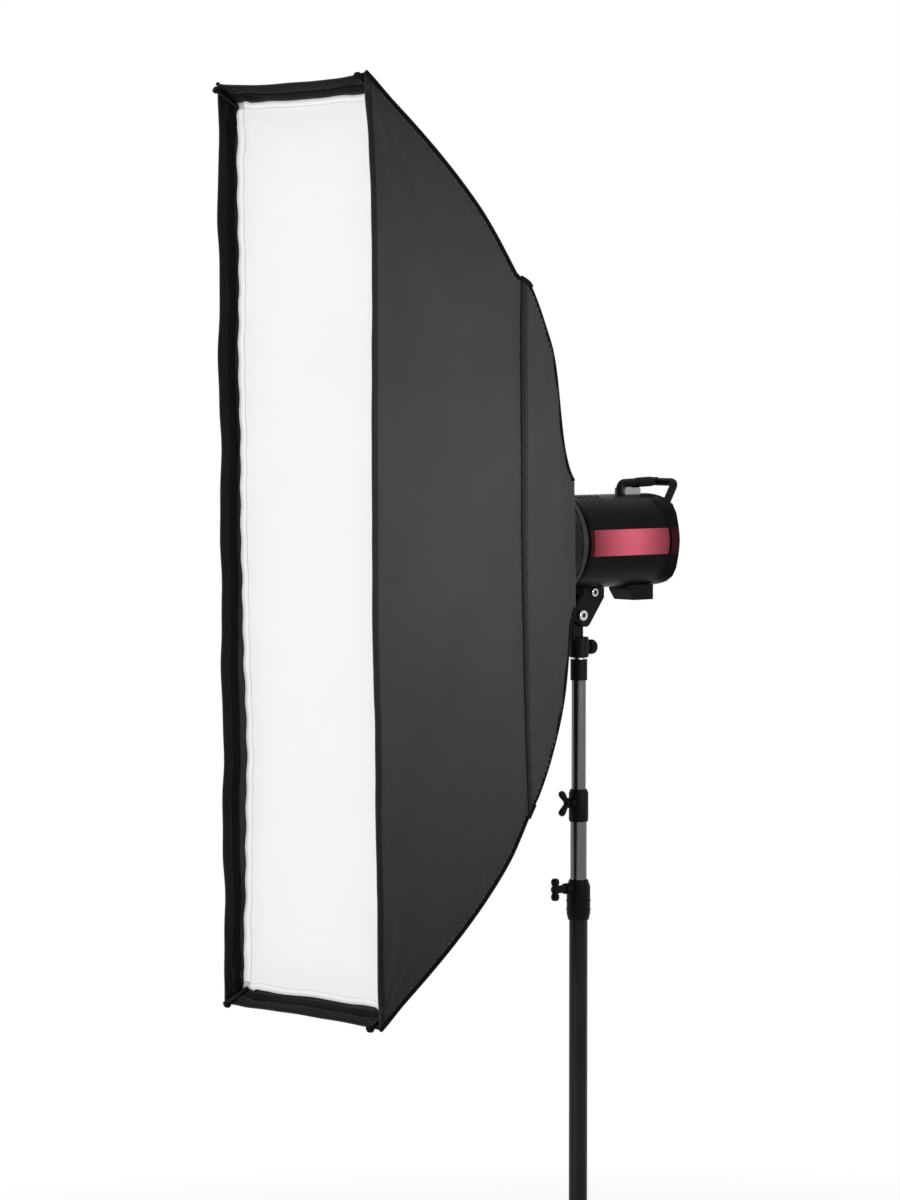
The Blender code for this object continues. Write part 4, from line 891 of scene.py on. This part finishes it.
def front_diffuser():
    """The recessed white cloth, slightly bowed."""
    t = at_depth(RECESS)
    spot = corner(t)
    beside, below, above = DIFFUSER_MARGINS
    trim_x, trim_z = DIFFUSER_TRIM
    rows = []
    for v in spaced(-1, 1, 130):
        right, left = side_point(1, t, v * trim_z), side_point(-1, t, v * trim_z)
        row = []
        for u in spaced(-1, 1, 40):
            top, bottom = end_point(1, t, u * trim_x), end_point(-1, t, u * trim_x)
            x = left.x + beside + (right.x - left.x - 2 * beside) * (u + 1) / 2
            z = bottom.z + below + (top.z - bottom.z - below - above) * (v + 1) / 2
            row.append(Vector((x, LIP_Y + RECESS + diffuser_relief(u, v, x, z - AXIS, spot), z)))
        rows.append(row)
    white_sheet("front_diffuser", rows, 0.001)
    diffuser_hems(rows)


def diffuser_hems(rows):
    """Doubled cloth and its stitches along the edges of the white front cloth."""
    ahead = Vector((0, -HEM_LIFT, 0))
    hems = {"left": ([row[:3] for row in rows], [row[2] for row in rows]),
            "right": ([row[-3:] for row in rows], [row[-3] for row in rows]),
            "top": (rows[-2:], rows[-2]), "bottom": (rows[:2], rows[1])}
    for word, (strip, _) in hems.items():
        hem = grid(f"diffuser_hem_{word}", [[p + ahead for p in row] for row in strip], True, HEM_CLOTH)
        sewn(hem, WHITE_HEM)
    for word, (_, line) in hems.items():
        path = [p + ahead * 1.8 for p in line]
        stitches(f"diffuser_stitches_{word}", path, WHITE_STITCH, *WHITE_STITCH_SIZE)


def inner_baffle():
    """The second white cloth inside the box, pulled to the rods by four straps."""
    half_x, half_z = BAFFLE_HALF
    pull_x, pull_z = BAFFLE_PULL
    rows = []
    for v in spaced(-1, 1, 40):
        row = []
        for u in spaced(-1, 1, 16):
            drop = BAFFLE_BOW * (1 - u * u) * (1 - v * v)
            pull = 1 - pull_x * (1 - v * v) * abs(u) ** 3
            z = v * half_z * (1 - pull_z * (1 - u * u))
            row.append(Vector((u * half_x * pull, LIP_Y + BAFFLE_DEPTH + drop, AXIS + z)))
        rows.append(row)
    white_sheet("inner_baffle", rows, 0.0008)
    for number, side, end in CORNERS:
        x, z = side * (half_x - STRAP_INSET), end * (half_z - STRAP_INSET)
        start = Vector((x, LIP_Y + BAFFLE_DEPTH, AXIS + z))
        tip = rod_point(at_depth(BAFFLE_DEPTH), side, end)
        path = [start.lerp(tip, share) for share in spaced(0, 1, 5)]
        sewn(sweep(f"baffle_strap_{number}", path, STRAP_HALF, 8, STRAP_FLAT), WHITE_CLOTH)


def rod_point(t, side, end):
    """The middle of a support rod, kept inside the cloth."""
    spot, (n_depth, n_height) = corner(t), inward(t)
    pulled = ROD_INSET + ROD_PULL * max(0, (t - 0.7) / 0.3) ** 2
    inset = max(pulled, ROD_RADIUS + ROD_GAP - standoff(end, spot.y))
    height = spot.z + n_height * inset + min(0, LIP_SHIFT[side, end][1]) * lip_share(spot.y)
    return Vector((side * (spot.x - inset), LIP_Y + spot.y + n_depth * inset, AXIS + end * height))


def rods_and_pockets():
    """Four sprung rods, each with its tip in a squared webbing pocket sewn to the lip."""
    for number, side, end in CORNERS:
        path = [rod_point(ROD_END * t, side, end) for t in spaced(0, 1, 48)]
        ahead = (path[0] - path[1]).normalized()
        rod = sweep(f"rod_{number}_sprung", [path[0] + ahead * ROD_TIP] + path, ROD_RADIUS, 12)
        finish_piece(rod, "softbox", ROD_METAL, (f"rod_{number}",))
        across = Vector((side, 0, 0))
        across = (across - ahead * ahead.dot(across)).normalized()
        other = ahead.cross(across)
        rings = []
        for height, width in POCKET_PROFILE:
            row = []
            for j in range(24):
                c, s = cos(pi * j / 12), sin(pi * j / 12)
                square = (c**4 + s**4) ** -0.25
                row.append(path[0] + ahead * height + (across * c + other * s * 0.86) * width * square)
            rings.append(row)
        pocket = skin(f"corner_pocket_{number}_webbing", rings)
        sewn(pocket, BLACK_TAPE, (f"corner_pocket_{number}",))


def rear_skirt():
    """Gathered cloth that closes the shell's rear opening on the speed ring."""
    count = 160
    rings = []
    for y, share, tuck in SKIRT_PROFILE:
        row = []
        for j in range(count):
            turn = tau * j / count
            c, s = cos(turn), sin(turn)
            rect = min(SKIRT_HALF[0] / max(abs(c), 1e-6), SKIRT_HALF[1] / max(abs(s), 1e-6), SKIRT_CORNER)
            gather = (0.001 * sin(turn * 40) + 0.0006 * sin(turn * 17 + 1)) * share
            radius = rect + (SKIRT_RADIUS - rect) * share - tuck + gather
            row.append(Vector((radius * c, y, AXIS + radius * s)))
        rings.append(row)
    obj = sewn(thicken(skin("rear_skirt", rings, False, angle=180), 0.001), BLACK_CLOTH)
    path = [CENTRE + around(turn) * ELASTIC_RADIUS + BACK * ELASTIC_Y for turn in range(0, 360, 5)]
    sewn(sweep("skirt_elastic", path, ELASTIC_BEAD, 10, 1, True), BLACK_TAPE)


# Flash head, bracket and stand


def stem(name, radius, near, far, at, along, body, steps=20):
    """The plain steel shaft of a clamp screw."""
    profile = [(HUB, near), (radius, near), (radius, far), (HUB, far)]
    turned(name, profile, at, along, steps, body, STEEL)


def ring_and_lock():
    refined("speed_ring", "softbox", RING_METAL)
    lock = Vector((-1, 0, 1)).normalized()
    base = Vector((0, LOCK_Y, AXIS))
    grip = [(HUB, 0.0727), (0.0065, 0.0727), (0.0076, 0.0738), (0.0078, 0.075), (0.0078, 0.085),
            (0.0074, 0.0862), (0.0065, 0.0872), (HUB, 0.087)]
    knurl = (0.074, 0.086, 20, 0.0006)
    turned("ring_lock_knurled", grip, base, lock, 80, "ring_lock", replaced=("ring_lock_knob",), knurl=knurl)
    stem("ring_lock_stem", 0.0023, 0.0666, 0.0732, base, lock, "ring_lock")


def squared(spot):
    """Draws a point of the rear cap's round outline out to a rounded square."""
    out = Vector((spot.x, 0, spot.z - AXIS))
    turn = atan2(out.z, out.x)
    share = fade(out.length, *CAP_FACE) * fade(spot.y, BARREL_BACK, BARREL_BACK + CAP_FLARE)
    return spot + out * (CAP_SQUARE * sin(2 * turn) ** 4 * share)


def trimmed(spot):
    """Moves a point at the front of the mains inlet back."""
    return spot + BACK * INLET_TRIM if spot.y < INLET_FRONT else spot


def barrel_profile():
    """The barrel's wall from its back to its neck, with a groove near each end."""
    radius = BARREL_RADIUS
    wall = [(BARREL_INNER, BARREL_BACK), (radius - 0.001, BARREL_BACK), (radius, BARREL_BACK - 0.001)]
    floor_radius = radius - GROOVE_DEPTH
    for y in GROOVES:
        wall += [(radius, y), (floor_radius, y - 0.0005), (floor_radius, y - 0.0012), (radius, y - 0.0017)]
    neck = radius - NECK_STEP
    wall += [(radius, -0.036), (neck + 0.0005, -0.0378), (neck, -0.0385), (neck, BARREL_FRONT + 0.0004)]
    return wall + [(neck - 0.0005, BARREL_FRONT), (BARREL_INNER, BARREL_FRONT)]


def head():
    turned("head_barrel", barrel_profile(), CENTRE, BACK, 128, "head", SATIN_PLASTIC,
           replaced=("head_housing",), hollow=True)
    refined("head_flange", "head", bevel=0.0008)
    reshaped(refined("rear_cap", "head", SATIN_PLASTIC, bevel=0.001), squared)
    reshaped(refined("power_inlet", "head", bevel=0.001), trimmed)
    for _, word in SIDES:
        refined(f"side_band_{word}", "head", RED_BAND, 0.0002)
    refined("lamp_holder", "head", CERAMIC, 0.0008)
    refined("modelling_lamp", "head", FROSTED, 0)
    refined("flash_tube", "head", LAMP_GLASS, 0)
    refined("capacitor", "head", RING_METAL, 0.001)
    controls()
    handle()
    band_tails()
    vents_and_screws()


def controls():
    """What is on the rear face: display, keys, dial, switch, sensor, and the inlet's pins below."""
    refined("display_window", "head", SCREEN, 0.0003)
    refined("slave_sensor", "head", RED_PLASTIC, 0.0002)
    refined("power_switch", "switch", RED_PLASTIC, 0.0008)
    for i in (1, 2, 3):
        refined(f"button_{i}", f"key_{i}", BUTTON_GREY, 0.0004)
    dial = [(0.0008, 0.0004), (0.0108, 0.0004), (0.0115, 0.0012), (0.0115, 0.002), (0.0113, 0.0112),
            (0.0104, 0.0126), (0.009, 0.013), (0.0084, 0.0127), (0.0004, 0.0126)]
    at = CENTRE + BACK * HEAD_BACK - UP * DIAL_DROP
    knurl = (0.0015, 0.0115, 36, 0.0005)
    turned("control_dial_knurled", dial, at, BACK, 144, "dial", replaced=("control_dial",), knurl=knurl)
    low = at + Vector((-0.0006, 0.0126, 0.006))
    slab("dial_mark", low, low + Vector((0.0012, 0.0006, 0.003)), 0.0002, "dial", GREY_PLASTIC)
    for k in range(5):
        low = Vector((BAR_PLACE[0] + BAR_PITCH * k, HEAD_BACK + BAR_SIZE[1], AXIS + BAR_PLACE[1]))
        high = low + Vector(BAR_SIZE) + UP * BAR_STEP * k
        slab(f"display_bar_{k + 1}", low, high, 0.0001, "head", BAR_WHITE)
    wide, tall = PIN_HALF
    for k, (x, z) in enumerate(INLET_PINS, 1):
        low, high = ((x + way * wide, y, z + way * tall) for way, y in zip((-1, 1), PIN_SPAN))
        slab(f"inlet_pin_{k}", low, high, 0.0003, "head", STEEL)


def handle():
    """The carry handle, the pale saddle behind its front post and the rubber grip on its bar."""
    refined("carry_handle", "head", bevel=0.0006)
    half, near, far, top = SADDLE
    half, far = half + SADDLE_SKIN, far + SADDLE_SKIN
    rings = []
    for x in spaced(-half, half, 16):
        low = AXIS + sqrt((BARREL_RADIUS - 0.0002) ** 2 - x * x)
        outline = ((near, low), (far, low), (far, top - 0.0011), (far - 0.0016, top + 0.0005),
                   (near + 0.001, top + 0.0005), (near, top - 0.0011))
        rings.append([(x, y, z) for y, z in outline])
    finish_piece(skin("handle_saddle", rings), "head", PALE_PLASTIC)
    front, back = HANDLE_SPAN
    slope = HANDLE_CLIMB / (back - front)
    grip = [(0, y, HANDLE_LEVEL + slope * (y - front)) for y in spaced(*GRIP_SPAN, 24)]
    finish_piece(sweep("handle_grip", grip, GRIP_RADIUS, 20), "head", RUBBER)


def band_tails():
    """The darker ends of the red band, on the rear cap and in front of it on the barrel."""
    high = BARREL_RADIUS + BAND_RISE
    low = high - BAND_THICKNESS
    for side, word in SIDES:
        for place, first, last in BAND_TAILS:
            rings = []
            for turn in spaced(-BAND_HALF_ANGLE, BAND_HALF_ANGLE, 16):
                out = around(turn) * Vector((side, 1, 1))
                loop = ((low, first), (high, first), (high, last), (low, last))
                rings.append([squared(CENTRE + out * r + BACK * y) for r, y in loop])
            finish_piece(skin(f"band_{place}_{word}", rings), "head", DARK_RED)


def vents_and_screws():
    number = 0
    for turn in VENT_TURNS:
        out = around(turn)
        wide = Vector((-out.z, 0, out.x)) * VENT_HALF
        for row in range(5):
            number += 1
            middle = CENTRE + BACK * (VENT_START + VENT_PITCH * row) + out * (BARREL_RADIUS - 0.00015)
            path = [middle + wide * share for share in spaced(-1, 1, 4)]
            finish_piece(sweep(f"vent_{number}", path, VENT_RADIUS, 8, VENT_FLAT), "head", VENT_BLACK)
    screw = [(HUB, -0.0004), (0.003, -0.0004), (0.003, 0.0004), (0.0024, 0.001), (0.0013, 0.001),
             (0.0012, 0.0004), (HUB, 0.0004)]
    for k, turn in enumerate(SCREW_TURNS, 1):
        spot = CENTRE + BACK * HEAD_BACK + around(turn) * SCREW_CIRCLE
        turned(f"cap_screw_{k}", screw, spot, BACK, 24, "head", STEEL)


def widened(spot):
    """Draws a point of the tilt arm's rear edge out, but not where the arm meets the barrel."""
    arm = Vector((0, ARM_END[0] - TILT[0], ARM_END[1] - TILT[1])).normalized()
    rear = Vector((0, arm.z, -arm.y))
    off = (spot - Vector((0, *TILT))).dot(rear)
    share = fade(off, 0, ARM_HALF) * (1 - fade(off, *ARM_BLOCK))
    share *= fade(AXIS - BARREL_RADIUS - spot.z, 0, ARM_SADDLE)
    return spot + rear * (ARM_WIDEN * share)


def bracket():
    refined("bracket_socket", "swivel", bevel=0.0006)
    reshaped(refined("tilt_arm", "head", bevel=0.001), widened)
    refined("tilt_lever", "lever", bevel=0.0006)
    cup = [(HUB, -0.0004), (0.003, -0.0004), (0.0034, 0.0001), (0.003, 0.0004), (0.0024, 0.0003),
           (HUB, 0.0001)]
    for name, (y, z), face in BOLTS:
        refined(name, "head", STEEL, 0.0004)
        turned(f"{name}_hex_socket", cup, (face, y, z), (1, 0, 0), 6, "head", DARK_STEEL)
    near, far = SOCKET_GRIP
    grip = [(HUB, near), (0.0085, near), (0.0098, near + 0.001), (0.01, near + 0.002),
            (0.01, far - 0.0022), (0.0096, far - 0.0011), (0.0085, far), (0.006, far),
            (0.0055, far - 0.0006), (HUB, far - 0.0008)]
    at = UP * SOCKET_SCREW_Z
    knurl = (near + 0.0008, far - 0.001, 24, 0.0007)
    turned("socket_knob_knurled", grip, at, BACK, 96, "socket_screw", replaced=("socket_knob",), knurl=knurl)
    stem("socket_knob_stem", 0.0027, 0.0084, near + 0.0005, at, BACK, "socket_screw", 24)


def pipe(name, radius, inner, low, high, body, look=BLACK_PLASTIC, replaced=()):
    """A drawn tube with eased ends."""
    ease = 0.0003
    wall = [(inner, high), (radius - ease, high), (radius, high - ease), (radius, low + ease),
            (radius - ease, low), (inner, low)]
    turned(name, wall, (0, 0, 0), UP, 48, body, look, replaced, hollow=True)


def column():
    for name, body, radius, low, high, look in TUBES:
        pipe(f"{name}_drawn", radius, radius - TUBE_WALL, low, high, body, look, (name,))
    refined("spigot", "top_section", STEEL, 0.0004)
    low, high, radius = SLEEVE
    pipe("spigot_cover", radius + 0.0003, radius - 0.0002, low - 0.0003, high + 0.0003, "top_section")
    for name, body in (("lower_clamp", "stand_base"), ("upper_clamp", "middle_section"),
                       ("brace_collar", "stand_base"), ("leg_collar", "leg_carrier"),
                       ("lower_clamp_knob", "lower_knob"), ("upper_clamp_knob", "upper_knob"),
                       ("leg_collar_knob", "leg_knob")):
        refined(name, body, bevel=0.0006)
    plug = [(0.0112, 0.0702), (0.0122, 0.0664), (0.0106, 0.0636), (HUB, 0.063), (HUB, 0.07)]
    turned("column_plug", plug, (0, 0, 0), UP, 48, "stand_base", RUBBER)
    radius = LOWER_CLAMP_RADIUS
    for k, height in enumerate(BEAD_HEIGHTS, 1):
        bead = [(radius - 0.0006, height - 0.0016), (radius + 0.0004, height - 0.001),
                (radius + 0.0007, height), (radius + 0.0004, height + 0.001),
                (radius - 0.0006, height + 0.0016)]
        turned(f"lower_clamp_bead_{k}", bead, (0, 0, 0), UP, 48, "stand_base", hollow=True)


def legs():
    for number, azimuth in enumerate(LEG_AZIMUTHS, 1):
        turn = radians(azimuth)
        radial = Vector((cos(turn), sin(turn), 0))
        across = radial.cross(UP)
        leg, brace = f"leg_{number}", f"brace_{number}"
        refined(leg, leg, DARK_TUBE, 0.0003)
        refined(f"foot_{number}", leg, RUBBER, 0.0005)
        refined(brace, brace, DARK_TUBE, 0.0003)
        for body, (out, height, reach) in zip((leg, brace), PIVOTS):
            dome = [(HUB, reach - 0.0002), (0.0038, reach - 0.0002), (0.0036, reach + 0.0008),
                    (0.0024, reach + 0.0015), (HUB, reach + 0.0017)]
            for side, letter in ((1, "a"), (-1, "b")):
                at, along = radial * out + UP * height, across * side
                turned(f"{body}_rivet_{letter}", dome, at, along, 20, body, STEEL)


# Stage


def camera():
    azimuth, elevation = radians(CAMERA_AZIMUTH), radians(CAMERA_ELEVATION)
    right = Vector((cos(azimuth), sin(azimuth), 0))
    level = Vector((sin(azimuth), -cos(azimuth), 0))
    back = level * cos(elevation) + UP * sin(elevation)
    data = bpy.data.cameras.new("photo_camera")
    assign(data, sensor_width=SENSOR, lens=FOCAL_PIXELS * SENSOR / FRAME_LONG_SIDE, clip_end=100)
    obj = linked("photo_camera", data)
    turn = Matrix((right, back.cross(right), back)).transposed().to_4x4()
    target = right * CAMERA_TARGET[0] + UP * CAMERA_TARGET[1]
    obj.matrix_world = Matrix.Translation(target + back * CAMERA_DISTANCE) @ turn
    bpy.context.scene.camera = obj
    return right, level


def area_light(name, spot, target, size, power, angle):
    data = bpy.data.lights.new(name, "AREA")
    assign(data, shape="DISK", size=size, energy=power, spread=radians(angle))
    turn = (target - spot).to_track_quat("-Z", "Y").to_euler()
    assign(linked(name, data), location=spot, rotation_euler=turn)


def seen_rays(near):
    """One for rays that the camera sees, mirrored or through glass too, and nought for the rest."""
    path = node(near, "LightPath")
    seen = maths("MAXIMUM", path.outputs["Is Camera Ray"], path.outputs["Is Glossy Ray"])
    return maths("MAXIMUM", seen, path.outputs["Is Transmission Ray"])


def mixed(share, first, second):
    """A share of the second shader over the first."""
    mix = node(share, "MixShader")
    for socket, source in zip(mix.inputs, (share, first, second)):
        mix.id_data.links.new(source, socket)
    return mix.outputs["Shader"]


def world():
    made = bpy.data.worlds.new("studio")
    bpy.context.scene.world = made
    made.use_nodes = True
    tree = made.node_tree
    tree.nodes.clear()
    ambient = node(tree, "Background")
    preset(ambient, Color=(0.99, 0.995, 1, 1), Strength=AMBIENT)
    plain = node(tree, "Background")
    preset(plain, Color=(1, 1, 1, 1), Strength=1)
    both = mixed(seen_rays(tree), ambient.outputs["Background"], plain.outputs["Background"])
    feed(node(tree, "OutputWorld"), "Surface", both)


def floor():
    """A pale floor that keeps the shadow near the stand and turns to the plain background farther out."""
    rows = [[(x, y, -0.0006) for y in spaced(-9, 9, 6)] for x in spaced(-9, 9, 6)]
    obj = grid("floor", rows, True)
    made, shader = new_material("pale_floor")
    where = coordinates(shader)
    feed(shader, "Base Color", ramp(noise_of(where, 3, 4), 0.92, 0.94))
    preset(shader, Roughness=0.9, Specular_IOR_Level=0.1)
    glow = node(shader, "Emission")
    reach = node(shader, "VectorMath", operation="LENGTH")
    feed(reach, 0, where)
    share = spread(reach.outputs["Value"], *FLOOR_GLOW, *FLOOR_DISTANCE)
    share = maths("MULTIPLY", share, seen_rays(shader))
    both = mixed(share, shader.outputs["BSDF"], glow.outputs["Emission"])
    feed(made.node_tree.nodes["Material Output"], "Surface", both)
    obj.data.materials.append(made)


def stage():
    right, level = camera()
    world()
    floor()
    for name, target, (x, y, z), *rest in LAMPS:
        target = Vector(target)
        area_light(name, target + right * x + level * y + UP * z, target, *rest)


stage()
shell()
front_diffuser()
inner_baffle()
rods_and_pockets()
rear_skirt()
ring_and_lock()
head()
bracket()
column()
legs()

bpy.context.scene.view_settings.view_transform = "Standard"
bpy.context.view_layer.update()
